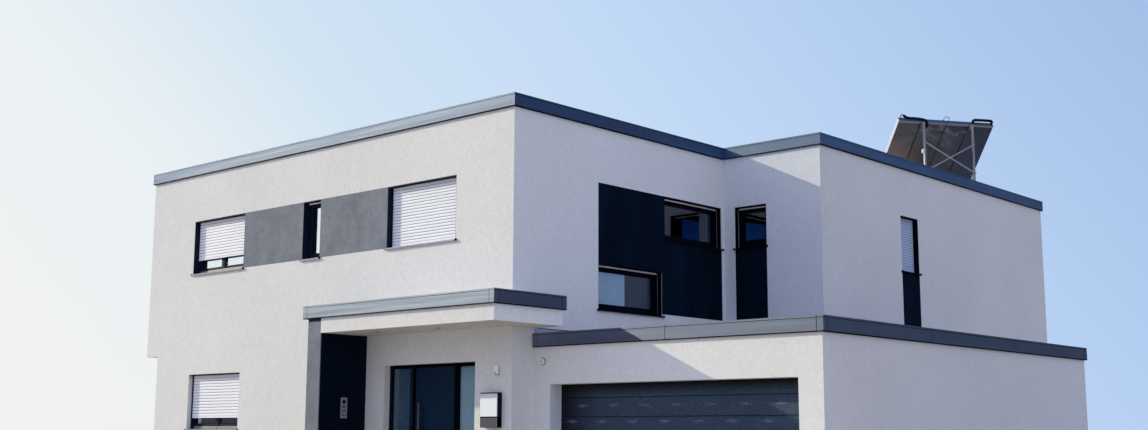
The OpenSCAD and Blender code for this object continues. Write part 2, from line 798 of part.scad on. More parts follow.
// Collectors on the roof, drawn with x along their top edge, y towards their low edge
collector_at = [450, 11118, 7985];
rest_gap = 20;
tray_edge = 28;
glass_drop = 14;
seam_x = 520;
seam_w = 8;
collectors_w = 2 * collector_w + rest_gap;
post_d = 40;
post_x = [0.25 * collectors_w, 0.764 * collectors_w];
collector_run = collector_l * cos(collector_tilt);
ballast_h = 90;
base_z = deck_z + ballast_h;

// Height of the collectors' underside
function under_z(y) = collector_at[2] - y * tan(collector_tilt);

module at_collectors() {
    translate([collector_at[0], collector_at[1], 0]) rotate([0, 0, collector_turn]) children();
}

module on_slope() {
    translate([0, 0, collector_at[2]]) rotate([-collector_tilt, 0, 0]) children();
}

// Two closed trays: the glass lies back between the edges, and a standing seam runs down the back sheet
module collectors() color([0.3, 0.29, 0.28])
    at_collectors() on_slope() for (i = [0, 1]) translate([i * (collector_w + rest_gap), 0, 0]) {
        difference() {
            cube([collector_w, collector_l, collector_t]);
            translate([tray_edge, tray_edge, collector_t - glass_drop])
                cube([collector_w - 2 * tray_edge, collector_l - 2 * tray_edge, collector_t]);
        }
        translate([seam_x - seam_w / 2, 0, -seam_w]) cube([seam_w, collector_l, seam_w + EPS]);
    }

// A square bar between two points in a plane of constant x
module bar(a, b, size) {
    d = b - a;
    translate(a) rotate([0, 0, atan2(d[1], d[0])]) rotate([0, 90 - atan2(d[2], norm([d[0], d[1]])), 0])
        translate([-size / 2, -size / 2, 0]) cube([size, size, norm(d)]);
}

// A support under the sloping underside from y0 to y1, standing on a level z
module prop(x, width, y0, y1, z) {
    translate([x - width / 2, 0, 0]) rotate([90, 0, 90]) linear_extrude(width)
        polygon([[y0, z], [y1, z], [y1, under_z(y1)], [y0, under_z(y0)]]);
}

brace_d = 24;
brace_z = [6915, 7535];
gusset_w = 36;
gusset_run = 100;
eye_plate = [62, 6, 108];

module collector_frame() color(aluminium) at_collectors() {
    foot_w = post_d + 8;
    front = -post_d;
    for (x = post_x) {
        block([x - post_d / 2, front, base_z + 5], [x + post_d / 2, 0, collector_at[2] - 8]);
        prop(x, gusset_w, 0, gusset_run, under_z(gusset_run) - 4);
        prop(x, post_d, collector_run - 80, collector_run - 35, base_z + 5);
        block([x - foot_w / 2, front - 20, base_z], [x + foot_w / 2, collector_run + 60, base_z + post_d]);
        for (z = brace_z)
            block([x - brace_d / 2, front - 2 * brace_d, z - 16], [x + brace_d / 2, front + 6, z + 16]);
    }
    // One brace lies in front of the other
    for (i = [0, 1]) {
        y = front - (i + 0.5) * brace_d;
        bar([post_x[0], y, brace_z[1 - i]], [post_x[1], y, brace_z[i]], brace_d);
    }
    // Plates with an eye beside the posts' feet
    for (x = post_x) translate([x - post_d / 2 - eye_plate[0], front, brace_z[0] - 40 - eye_plate[2]])
        difference() {
            cube([eye_plate[0] + EPS, eye_plate[1], eye_plate[2]]);
            translate([eye_plate[0] / 2, -EPS, eye_plate[2] / 2]) rotate([-90, 0, 0])
                cylinder(h = eye_plate[1] + 2 * EPS, d = 30, $fn = 24);
        }
}

module collector_ballast() color(concrete) at_collectors()
    for (x = post_x) block([x - 150, -post_d - 20, deck_z], [x + 150, collector_run + 150, base_z]);

// A round hose along a route of points, as rings of points square to the run
hose_sides = 10;

function direction(route, i) = unit(route[min(i + 1, len(route) - 1)] - route[max(i - 1, 0)]);
function side_axis(route, i) =
    let (t = direction(route, i), u = i == 0 ? [1, 0.3, 0.2] : side_axis(route, i - 1)) unit(u - (u * t) * t);
function hose_ring(route, i, d) =
    let (u = side_axis(route, i), v = cross(direction(route, i), u))
    [for (k = [0 : hose_sides - 1]) let (turn = k * 360 / hose_sides)
        route[i] + d / 2 * (cos(turn) * u + sin(turn) * v)];

module hose(route, d) {
    last = len(route) - 1;
    polyhedron(
        points = [for (i = [0 : last]) each hose_ring(route, i, d)],
        faces = concat(
            [[for (k = [hose_sides - 1 : -1 : 0]) k]],
            [for (i = [0 : last - 1]) for (k = [0 : hose_sides - 1])
                let (next = (k + 1) % hose_sides, a = i * hose_sides, b = a + hose_sides)
                [a + k, a + next, b + next, b + k]],
            [[for (k = [0 : hose_sides - 1]) last * hose_sides + k]]));
}

// Insulated hoses over the collectors' top edge. The right one joins two ports in it. The left one starts
// at a thin elbow, passes over a post and ends in the back sheet.
pipe_d = 50;
elbow_d = 20;
stub = 40;
seat_gap = 0.5;
top_out = [0, -cos(collector_tilt), sin(collector_tilt)];
back_out = [0, -sin(collector_tilt), -cos(collector_tilt)];
top_middle = -back_out * collector_t / 2;
back_port = [608, 0, 0] - top_out * 131;
function top_stub(x, away) = [x, 0, 0] + top_middle + top_out * away;
elbow_route = concat(
    [top_stub(38, seat_gap), top_stub(38, stub)],
    [[38, -2, 96], [42, -8, 116], [56, -14, 124], [72, -18, 118], [90, -22, 104]]);
left_route = concat(
    [[82, -20, 108], [100, -24, 94], [124, -28, 72], [150, -32, 56], [190, -36, 48], [260, -38, 47],
        [364, -40, 48], [440, -42, 44], [500, -46, 34], [545, -50, 26], [580, -54, 16], [600, -56, -6],
        [608, -56, -34], [608, -50, -68], [608, -34, -98], [608, -8, -120], [608, 24, -130], [608, 50, -126]],
    [back_port + back_out * stub, back_port + back_out * seat_gap]);
right_route = concat(
    [top_stub(1716, seat_gap), top_stub(1716, stub)],
    [[1722, -4, 82], [1738, -8, 96], [1764, -10, 102], [2118, -10, 104], [2144, -8, 98], [2160, -4, 84]],
    [top_stub(2166, stub), top_stub(2166, seat_gap)]);

module collector_pipes() color([0.08, 0.08, 0.09]) at_collectors() translate([0, 0, collector_at[2]]) {
    hose(elbow_route, elbow_d);
    for (route = [left_route, right_route]) hose(route, pipe_d);
}

// Metal flashing at the foot of the upper walls, over the garage roof. Beside the copings it starts above
// them.
flashing_t = 6;
flashing_top = garage_top + 80;
beside_coping = garage_t + coping_t + 4;

module flashing_strip(face, from, start_coping, to, end_coping) {
    low = garage_deck;
    high = garage_top + 2;
    a = start_coping ? from + beside_coping : from;
    b = end_coping ? to - beside_coping : to;
    on_face(face, 0, 0) rotate([90, 0, 0]) linear_extrude(flashing_t) polygon([
        [a, low], [b, low], [b, high], [to, high], [to, flashing_top], [from, flashing_top], [from, high],
        [a, high]]);
}

module wall_flashing() color(coping_paint) {
    flashing_strip(SIDE, garage_y0, true, notch_d, false);
    flashing_strip(WING_FRONT, flashing_t, false, rear_w + flashing_t, false);
    flashing_strip(WING_SIDE, notch_d, false, garage_y1, true);
}

placed() ground_slab();
placed() garage_slab();
placed() entrance_step();
placed() front_wall_ground_left();
placed() front_wall_ground_right();
placed() door_lintel();
placed() left_wall_ground();
placed() back_wall_ground();
placed() side_wall_ground();
placed() wing_front_wall_ground();
placed() wing_side_wall_ground();
placed() upper_floor();
placed() front_wall_upper();
placed() left_wall_upper();
placed() back_wall_upper();
placed() side_wall_upper();
placed() wing_front_wall_upper();
placed() wing_side_wall_upper();
placed() roof_slab();
placed() roof_covering();
placed() main_coping();
placed() garage_front_wall();
placed() garage_side_wall();
placed() garage_back_wall();
placed() garage_roof();
placed() garage_coping();
placed() garage_door();
placed() canopy();
placed() canopy_coping();
placed() wing_wall();
placed() soffit_lights();
placed() door_frame();
placed() side_light_glass();
placed() front_door();
placed() door_handle();
placed() grey_render();
placed() dark_render();
placed() front_window_frames();
placed() front_window_glass();
placed() front_shutters();
placed() front_sills();
placed() side_window_frames();
placed() side_window_glass();
placed() side_shutters();
placed() side_sills();
placed() rear_window_frames();
placed() rear_window_glass();
placed() rear_shutters();
placed() rear_sills();
placed() letter_box();
placed() letter_box_door();
placed() door_station();
placed() wall_sensors();
placed() collectors();
placed() collector_frame();
placed() collector_ballast();
placed() collector_pipes();
placed() wall_flashing();
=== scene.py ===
"""The looks of a detached house with a flat roof: materials for every built piece, and the fine trim on them."""
import json
from math import cos, pi, radians, sin, tau

import bmesh
import bpy
from mathutils import Matrix, Vector


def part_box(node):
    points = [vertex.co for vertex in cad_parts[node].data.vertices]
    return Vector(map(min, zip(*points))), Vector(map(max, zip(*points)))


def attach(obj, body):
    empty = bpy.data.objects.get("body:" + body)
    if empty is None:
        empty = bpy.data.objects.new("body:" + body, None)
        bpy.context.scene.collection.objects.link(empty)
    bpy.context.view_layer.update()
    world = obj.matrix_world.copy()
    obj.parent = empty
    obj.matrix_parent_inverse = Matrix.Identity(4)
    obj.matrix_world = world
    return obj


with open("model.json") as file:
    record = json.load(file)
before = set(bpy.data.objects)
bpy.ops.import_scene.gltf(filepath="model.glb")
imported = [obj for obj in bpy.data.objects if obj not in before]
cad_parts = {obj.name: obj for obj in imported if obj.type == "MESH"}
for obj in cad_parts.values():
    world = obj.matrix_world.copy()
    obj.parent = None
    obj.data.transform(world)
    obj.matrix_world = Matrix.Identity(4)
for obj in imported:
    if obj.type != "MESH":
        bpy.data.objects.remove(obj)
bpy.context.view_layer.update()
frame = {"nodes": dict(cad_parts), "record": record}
NODES = frame["nodes"]
RIGHT, UP, DOWN = (1, 0, 0), (0, 0, 1), (0, 0, -1)

# The photo's frame in pixels, and the camera that took it: focal length in pixels, place from the house's front right
# corner in metres, turns in radians
PHOTO_W = 1148
SENSOR_W = 36.0
FOCAL_PX = 1348.69
CAMERA_PLACE = Vector((13.902, -14.136, 1.400))
CAMERA_YAW = 0.7316
CAMERA_PITCH = 0.1617
CAMERA_ROLL = 0.0036

# The house's front right corner at ground level: x = 0 is the right face of the main block, y = 0 the street front
CORNER = Vector((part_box("front_wall_upper")[1].x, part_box("front_wall_upper")[0].y, 0.0))


def srgb(*values):
    """A colour from its 0 to 255 values on screen to linear light."""
    shares = [value / 255 for value in values]
    return [c / 12.92 if c <= 0.04045 else ((c + 0.055) / 1.055) ** 2.4 for c in shares]


def put(thing, **values):
    for key, value in values.items():
        setattr(thing, key, value)
    return thing


def add_object(name, data):
    made = bpy.data.objects.new(name, data)
    bpy.context.scene.collection.objects.link(made)
    return made


# Camera and light

def make_camera():
    camera = add_object("camera", bpy.data.cameras.new("camera"))
    bpy.context.scene.camera = camera
    put(camera.data, sensor_fit="HORIZONTAL", sensor_width=SENSOR_W, lens=FOCAL_PX / PHOTO_W * SENSOR_W,
        clip_start=0.1, clip_end=300.0)
    forward = Vector((-sin(CAMERA_YAW) * cos(CAMERA_PITCH), cos(CAMERA_YAW) * cos(CAMERA_PITCH), sin(CAMERA_PITCH)))
    level = Vector((cos(CAMERA_YAW), sin(CAMERA_YAW), 0.0))
    up = level.cross(forward)
    right = level * cos(CAMERA_ROLL) + up * sin(CAMERA_ROLL)
    up = up * cos(CAMERA_ROLL) - level * sin(CAMERA_ROLL)
    turn = Matrix((right, up, -forward)).transposed()
    camera.matrix_world = Matrix.Translation(CORNER + CAMERA_PLACE) @ turn.to_4x4()


# The backdrop's colours on screen by direction, from the far left to the far right. A direction's place is how far
# it points to the camera's right, and a part of how far it points up.
BACKDROP = ((0.271, (242, 242, 242)), (0.358, (234, 241, 244)), (0.425, (210, 228, 243)), (0.521, (195, 218, 246)),
            (0.592, (181, 207, 242)), (0.675, (165, 192, 231)))
# Gloss sees it dimmer, and deeper still behind the camera's right
GLOSS_SHARE = 0.18
BACKDROP_LEFT = (0.170, (140, 150, 165))
BACKDROP_RIGHT = (0.833, (38, 64, 106))
BACKDROP_RISE = 0.8
BACKDROP_REACH = 2.4
BACKDROP_MIDDLE = 0.417
AMBIENT = (0.77, 0.885, 1.27)
AMBIENT_STRENGTH = 0.685
# A key lamp from the left and a soft fill beside it: strength, softness, colour and the way that the light travels
SUNS = {"key": (3.42, radians(0.6), (1.0, 0.935, 0.64), Vector((2.092, 0.796, -1.0))),
        "fill": (0.2, radians(30), (1.0, 0.95, 0.84), Vector((1.0, 0.9, -0.75)))}
# The lamp that only gloss shows, low on the left: its way from the house as a turn from the left towards the street
# and a rise, and what it aims at from the house's corner
PANEL_TURN = radians(35.5)
PANEL_RISE = radians(8.0)
PANEL_AWAY = 60.0
PANEL_AIM = Vector((-5.0, 3.0, 3.0))
PANEL_W, PANEL_H = 15.0, 9.5
PANEL_RADIANCE = 1.12
PANEL_COLOUR = (0.93, 0.96, 1.0)


def make_lamps():
    for name, (strength, softness, colour, travel) in SUNS.items():
        lamp = add_object(name, bpy.data.lights.new(name, "SUN"))
        put(lamp.data, energy=strength, angle=softness, color=colour)
        lamp.rotation_mode = "QUATERNION"
        lamp.rotation_quaternion = travel.to_track_quat("-Z", "Y")

    lamp = add_object("panel", bpy.data.lights.new("panel", "AREA"))
    put(lamp.data, shape="RECTANGLE", size=PANEL_W, size_y=PANEL_H, color=PANEL_COLOUR,
        energy=PANEL_RADIANCE * pi * PANEL_W * PANEL_H)
    away = Vector((-cos(PANEL_TURN) * cos(PANEL_RISE), -sin(PANEL_TURN) * cos(PANEL_RISE), sin(PANEL_RISE)))
    turn = away.to_track_quat("Z", "Y").to_matrix().to_4x4()
    lamp.matrix_world = Matrix.Translation(CORNER + PANEL_AIM + away * PANEL_AWAY) @ turn
    lamp.visible_camera = False
    lamp.visible_diffuse = False


class Nodes:
    """Short ways to add to a node tree."""

    def __init__(self, tree):
        self.tree = tree

    def link(self, a, b):
        self.tree.links.new(a, b)

    def node(self, kind, inputs=None, **settings):
        """A node with its settings, and inputs by name or number, each a value or another node's output."""
        made = put(self.tree.nodes.new(kind), **settings)
        for key, value in (inputs or {}).items():
            if isinstance(value, bpy.types.NodeSocket):
                self.link(value, made.inputs[key])
            else:
                made.inputs[key].default_value = value
        return made

    def sum(self, operation, a, b, clamp=False):
        """A Math node on two values."""
        return self.node("ShaderNodeMath", {0: a, 1: b}, operation=operation, use_clamp=clamp).outputs[0]

    def dot(self, vector, direction):
        """How far a vector reaches in a direction."""
        return self.node("ShaderNodeVectorMath", {0: vector, 1: direction}, operation="DOT_PRODUCT").outputs["Value"]


def make_world():
    """Even light, and a pale backdrop that the camera, gloss and glass see."""
    world = bpy.data.worlds.new("studio")
    bpy.context.scene.world = world
    world.use_nodes = True
    world.node_tree.nodes.clear()
    sky = Nodes(world.node_tree)

    path = sky.node("ShaderNodeLightPath").outputs
    seen = path["Is Camera Ray"]
    for kind in ("Is Glossy Ray", "Is Transmission Ray"):
        seen = sky.sum("MAXIMUM", seen, path[kind])
    # What lights matt surfaces is the even light, through a pane too
    shown = sky.sum("MULTIPLY", seen, sky.sum("SUBTRACT", 1.0, path["Diffuse Depth"], clamp=True))

    across = [part / BACKDROP_REACH for part in (cos(CAMERA_YAW), sin(CAMERA_YAW), BACKDROP_RISE)]
    towards = sky.dot(sky.node("ShaderNodeTexCoord").outputs["Generated"], across)
    share = sky.sum("ADD", towards, BACKDROP_MIDDLE, clamp=True)
    skies = []
    for stops, level in ((BACKDROP, 1.0), ((BACKDROP_LEFT, *BACKDROP, BACKDROP_RIGHT), GLOSS_SHARE)):
        ramp = sky.node("ShaderNodeValToRGB", {"Fac": share})
        while len(ramp.color_ramp.elements) < len(stops):
            ramp.color_ramp.elements.new(1.0)
        for element, (place, colour) in zip(ramp.color_ramp.elements, stops):
            element.position = place
            element.color = (*(Vector(srgb(*colour)) * level), 1)
        skies.append(ramp.outputs["Color"])
    backdrop = sky.node("ShaderNodeMix", {"Factor": path["Is Camera Ray"], "A": skies[1], "B": skies[0]},
                        data_type="RGBA").outputs["Result"]

    lights = [sky.node("ShaderNodeBackground", inputs).outputs[0] for inputs in (
        {"Color": (*AMBIENT, 1), "Strength": AMBIENT_STRENGTH}, {"Color": backdrop})]
    mix = sky.node("ShaderNodeMixShader", {"Fac": shown, 1: lights[0], 2: lights[1]})
    sky.node("ShaderNodeOutputWorld", {"Surface": mix.outputs[0]})
    bpy.context.scene.view_settings.view_transform = "Standard"


# Materials

# The shader's inputs by the short names that a surface takes
SHADER_INPUTS = {"roughness": "Roughness", "metallic": "Metallic", "specular": "Specular IOR Level", "ior": "IOR",
                 "sheen": "Specular Tint", "coat": "Coat Weight", "clear": "Transmission Weight"}
# How far apart the painted reflections on the garage door lie, and where its painted shade under the lintel starts, in
# metres
DOOR_REFLECTION_STEP = 0.57
DOOR_PAINTED_SHADE_TOP = 2.125
# The way that the collectors' top edge runs
COLLECTOR_TURN = radians(55.1)
COLLECTOR_ALONG = (cos(COLLECTOR_TURN), sin(COLLECTOR_TURN), 0.0)


class Surface(Nodes):
    """A material on Blender's own shader, with procedural colour and relief in metres."""

    def __init__(self, name, colour, **values):
        self.material = bpy.data.materials.new(name)
        self.material.use_nodes = True
        super().__init__(self.material.node_tree)
        self.shader = self.tree.nodes["Principled BSDF"]
        self.colour = (*colour, 1)
        self.shader.inputs["Base Color"].default_value = self.colour
        for key, value in values.items():
            self.shader.inputs[SHADER_INPUTS[key]].default_value = value
        self.normal = None
        self.place = self.node("ShaderNodeTexCoord").outputs["Object"]

    def stretched(self, scale):
        """Object coordinates times one scale, or a scale for each axis."""
        scales = scale if isinstance(scale, tuple) else (scale,) * 3
        return self.node("ShaderNodeMapping", {"Vector": self.place, "Scale": scales}).outputs["Vector"]

    def noise(self, scale, detail=3.0, roughness=0.5, distortion=0.0):
        return self.node("ShaderNodeTexNoise", {
            "Vector": self.stretched(scale), "Scale": 1.0, "Detail": detail, "Roughness": roughness,
            "Distortion": distortion}).outputs["Fac"]

    def cells(self, scale):
        return self.node("ShaderNodeTexVoronoi", {"Vector": self.stretched(scale), "Scale": 1.0}).outputs["Distance"]

    def ranged(self, value, low, high, to_low=0.0, to_high=1.0):
        return self.node("ShaderNodeMapRange", {
            "Value": value, "From Min": low, "From Max": high, "To Min": to_low, "To Max": to_high}).outputs["Result"]

    def along(self, direction):
        """How far a point lies along a direction, in metres."""
        return self.dot(self.place, direction)

    def facing(self, direction):
        """How squarely a face looks in a direction."""
        return self.dot(self.node("ShaderNodeNewGeometry").outputs["True Normal"], direction)

    def blend(self, factor, other, blend_type):
        """Mixes the surface's colour with another."""
        mix = self.node("ShaderNodeMix", {"Factor": factor, "A": self.colour, "B": other}, data_type="RGBA",
                        blend_type=blend_type)
        self.colour = mix.outputs["Result"]
        self.link(self.colour, self.shader.inputs["Base Color"])

    def tint(self, value, colour, low, high, amount=1.0):
        """Colours the surface towards a colour where value is high."""
        self.blend(self.ranged(value, low, high, 0.0, amount), (*colour, 1), "MIX")

    def paint_face_light(self, direction, tone, start=None, full=None):
        """Paints light and shade by the way a face looks: gives the faces that look in a direction their own tone, all
        of them or those past a place to the right.
        """
        look = self.facing(direction)
        if start is not None:
            look = self.sum("MULTIPLY", look, self.ranged(self.along(RIGHT), start, full))
        self.tint(look, tone, 0.5, 0.9)

    def shade(self, value, darkest, lightest, low=0.3, high=0.7):
        """Makes the surface's colour lighter and darker with value."""
        self.blend(1.0, self.ranged(value, low, high, darkest, lightest), "MULTIPLY")

    def mottle(self, scale, darkest, lightest, low=0.3, high=0.7, **noise):
        """Makes the surface's colour lighter and darker with noise."""
        self.shade(self.noise(scale, **noise), darkest, lightest, low, high)

    def relief(self, value, depth, strength):
        """Raises the surface by depth metres where value is 1."""
        bump = self.node("ShaderNodeBump", {"Height": value, "Distance": depth, "Strength": strength})
        if self.normal is not None:
            self.link(self.normal, bump.inputs["Normal"])
        self.normal = bump.outputs["Normal"]
        self.link(self.normal, self.shader.inputs["Normal"])

    def vary_roughness(self, value, low, high):
        self.link(self.ranged(value, 0.3, 0.7, low, high), self.shader.inputs["Roughness"])


def render_coat(name, colour, faces=(), grain=0.94, patch=0.955, cloud=0.95, streak=0.99, specular=0.1):
    """Scratched render: a grain of a few millimetres, a mottle as wide as a hand, soft clouds and faint runs.
    Faces that look another way than the street may have another tone: painted light and shade, for how light falls on
    them."""
    surface = Surface(name, colour, roughness=0.92, specular=specular)
    # Painted light and shade by the way a face looks
    for face in faces:
        surface.paint_face_light(*face)
    surface.mottle(0.45, cloud, 1.02, detail=4.0)
    surface.mottle((2.6, 2.6, 0.35), streak, 1.0, 0.35, 0.65, detail=5.0)
    surface.mottle(31.0, patch, 2 - patch, 0.36, 0.64, roughness=0.6)
    surface.mottle(11.0, (1 + patch) / 2, (3 - patch) / 2, detail=2.0)
    surface.mottle(140.0, grain, 1.03, detail=2.0)
    surface.relief(surface.noise(150.0, roughness=0.6), 0.0035, 0.5)
    surface.relief(surface.cells(95.0), 0.0025, 0.35)
    return surface


def painted_metal(name, colour, roughness, specular, peel=True, wear=0.94, metallic=0.0):
    """Powder-coated sheet: slow changes of tone and gloss, and a fine orange peel."""
    surface = Surface(name, colour, roughness=roughness, metallic=metallic, specular=specular)
    surface.mottle((1.1, 1.1, 2.5), wear, 1.03, detail=4.0)
    surface.vary_roughness(surface.noise(3.0, detail=4.0), roughness * 0.85, min(1.0, roughness * 1.2))
    if peel:
        surface.relief(surface.noise(420.0, detail=1.0), 0.0006, 0.25)
    return surface


def coping_paint(name, colour, roughness, ior, sheen, *painted_side_tone):
    """Satin sheet with a cool sheen and long soft bands in its colour, gloss and relief; the bands in its colour are
    painted reflections. The faces that look right get a painted tone for the light they mirror.
    """
    surface = Surface(name, colour, roughness=roughness, specular=1.0, ior=ior, sheen=(*sheen, 1))
    # Painted light: the faces that look right get their own tone
    surface.paint_face_light(RIGHT, *painted_side_tone)
    # Painted reflections: long soft bands in the colour
    surface.mottle((0.25, 0.25, 14.0), 0.85, 1.15)
    surface.mottle((1.6, 1.6, 1.0), 0.92, 1.05, detail=4.0)
    surface.vary_roughness(surface.noise((0.4, 0.4, 11.0)), roughness - 0.06, roughness + 0.06)
    surface.relief(surface.noise((0.5, 0.5, 9.0), detail=2.0), 0.008, 0.55)
    return surface


def window_glass(name, colour, ior, metallic=0.0):
    surface = Surface(name, colour, roughness=0.0, clear=1.0, ior=ior, metallic=metallic)
    surface.mottle(1.5, 0.97, 1.0, detail=2.0)
    return surface


def blind(name, *colour):
    """A blind, or a film on a pane, with faint bands."""
    surface = Surface(name, colour, roughness=0.85, specular=0.05)
    surface.mottle((2.0, 2.0, 40.0), 0.94, 1.04, detail=2.0)
    surface.mottle(1.2, 0.85, 1.1, detail=2.0)
    return surface


# Render by its finish: colour, faces with their own tone of painted light and shade, and grain, patch, cloud, streak
# and specular level
PLAIN_TONE = (0.755, 0.742, 0.725)
# The painted shade of the soffits
SOFFIT_SHADE_TONE = (0.70, 0.68, 0.65)
RENDERS = {
    # The walls' faces that look right painted lighter, and the soffits in painted shade
    "white_render": ((0.77, 0.76, 0.75), ((RIGHT, (0.83, 0.83, 0.82)), (DOWN, SOFFIT_SHADE_TONE))),
    "plain_render": (PLAIN_TONE,),
    # Painted light: the canopy's faces that look right lighter, and its soffit in painted shade
    "canopy_render": ((0.775, 0.765, 0.755), ((RIGHT, (0.88, 0.87, 0.85)), (DOWN, SOFFIT_SHADE_TONE))),
    # Painted shade: the wing's front wall bluer, as it is in shade
    "wing_render": ((0.735, 0.765, 0.81), ((RIGHT, PLAIN_TONE),)),
    # Painted light: the garage front brighter, and its reveal bluish where the sky lights it
    "garage_render": ((0.805, 0.795, 0.79), ((RIGHT, PLAIN_TONE), (RIGHT, (0.76, 0.82, 0.90), 5.0, 4.9))),
    # Painted shade: the left walls darker, against the strong light on them
    "weather_render": ((0.61, 0.60, 0.585),),
    "grey_render": ((0.232, 0.252, 0.290), (), 0.92, 0.93, 0.90, 0.97),
    "dark_render": ((0.0015, 0.0095, 0.026), (), 0.85, 0.85, 0.8, 0.7, 0.06)}

# Coping sheet by its finish: colour, roughness, index of refraction, sheen, the painted tone of the faces that look
# right and where it starts
COPINGS = {
    "coping_metal": ((0.008, 0.014, 0.020), 0.52, 3.15, (0.58, 0.67, 0.99), (0.008, 0.016, 0.020)),
    "garage_coping_metal": ((0.003, 0.008, 0.013), 0.52, 2.85, (0.545, 0.635, 1.0), (0.055, 0.088, 0.088)),
    "main_coping_metal": ((0.012, 0.064, 0.160), 0.50, 2.12, (0.54, 0.64, 0.97), (0.050, 0.128, 0.25), 3.0, 3.1)}

# Painted sheet and plastic by its finish: colour, roughness, specular level, orange peel, wear and metal
PAINTS = {
    "coping_joint": ((0.02, 0.03, 0.05), 0.35, 0.8),
    "coping_lip": ((0.004, 0.010, 0.025), 0.5, 0.2),
    "flashing": ((0.40, 0.46, 0.54), 0.45, 0.3),
    "frame_paint": ((0.009, 0.015, 0.034), 0.5, 0.12),
    # Painted shade: a darker copy of the frame paint for the side windows
    "side_frame_paint": ((0.001, 0.003, 0.009), 0.5, 0.06),
    "stile_paint": ((0.010, 0.022, 0.060), 0.4, 0.35),
    "leaf_paint": ((0.006, 0.022, 0.050), 0.5, 0.06),
    "post_paint": ((0.0008, 0.001, 0.003), 0.55, 0.04),
    "door_frame_paint": ((0.003, 0.008, 0.018), 0.5, 0.06),
    "box_paint": ((0.004, 0.008, 0.018), 0.5, 0.12),
    "tube_paint": ((0.080, 0.088, 0.115), 0.5, 0.2),
    "station_metal": ((0.26, 0.28, 0.33), 0.45, 0.3),
    "shutter_metal": ((0.88, 0.89, 0.94), 0.5, 0.1, False, 0.99),
    # Painted shade: a darker, bluer copy of the shutter metal for the side shutters
    "side_shutter_metal": ((0.46, 0.57, 0.74), 0.5, 0.1, False),
    "end_bar_metal": ((0.95, 0.90, 0.84), 0.5, 0.1, False),
    "frame_bar": ((0.33, 0.335, 0.40), 0.52, 0.5, False, 0.94, 0.7),
    "slat_gap": ((0.20, 0.205, 0.22), 0.8, 0.05, False),
    "rail_line": ((0.42, 0.42, 0.46), 0.6, 0.2, False),
    "sill_metal": ((0.38, 0.38, 0.42), 0.45, 0.25),
    "light_ring": ((0.10, 0.095, 0.09), 0.4, 0.3),
    "head_trim": ((0.018, 0.031, 0.060), 0.55, 0.1),
    "door_edge": ((0.035, 0.055, 0.10), 0.5, 0.2),
    "flap_metal": ((0.70, 0.73, 0.76), 0.4, 0.3),
    "bright_edge": ((0.92, 0.93, 0.95), 0.3, 0.5),
    "tube_edge": ((0.36, 0.37, 0.40), 0.4, 0.4),
    "white_plastic": ((0.96, 0.96, 0.95), 0.5, 0.3),
    "gasket": ((0.003, 0.003, 0.005), 0.8, 0.08),
    "black_plastic": ((0.003, 0.003, 0.005), 0.35, 0.3),
    "tray_rail": ((0.045, 0.12, 0.27), 0.4, 0.3),
    "side_strip": ((0.58, 0.575, 0.64), 0.5, 0.2),
    "hem": ((0.34, 0.34, 0.35), 0.45, 0.3),
    "batten": ((0.15, 0.13, 0.11), 0.6, 0.1)}

# Glass by its finish: colour, index of refraction and how far it mirrors
PANES = {"glass": ((0.92, 0.95, 0.96), 1.52), "front_glass": ((0.90, 0.94, 0.96), 2.5, 0.6)}

# Blinds and films behind the panes by their finish: the glowing, dark reflection and sky reflection blinds are painted
# reflections, and the two satin films a shaded and a lit copy of one film
BLINDS = {"pale_blind": (0.60, 0.74, 0.87), "dark_blind": (0.001, 0.001, 0.004), "blue_blind": (0.000, 0.043, 0.237),
          "grey_blind": (0.006, 0.011, 0.032), "dusk_blind": (0.012, 0.042, 0.115), "teal_blind": (0.07, 0.16, 0.24),
          "satin_film": (0.17, 0.275, 0.38), "pale_film": (0.68, 0.92, 1.0), "deep_blind": (0.000, 0.095, 0.37)}


def stone_surfaces():
    concrete = Surface("concrete", (0.42, 0.42, 0.40), roughness=0.85)
    concrete.mottle(1.3, 0.86, 1.04, detail=6.0)
    concrete.mottle(60.0, 0.92, 1.03, detail=4.0)
    concrete.relief(concrete.noise(90.0, detail=5.0), 0.001, 0.4)
    gravel = Surface("gravel", (0.36, 0.35, 0.33), roughness=0.9)
    pebbles = gravel.cells(26.0)
    gravel.tint(gravel.noise(9.0, detail=2.0), (0.50, 0.48, 0.45), 0.35, 0.65)
    gravel.shade(pebbles, 1.08, 0.55, 0.0, 0.7)
    gravel.mottle(0.5, 0.88, 1.05, detail=5.0)
    gravel.relief(gravel.ranged(pebbles, 0.0, 0.7, 1.0, 0.0), 0.02, 0.8)
    return {"concrete": concrete, "roof_gravel": gravel}


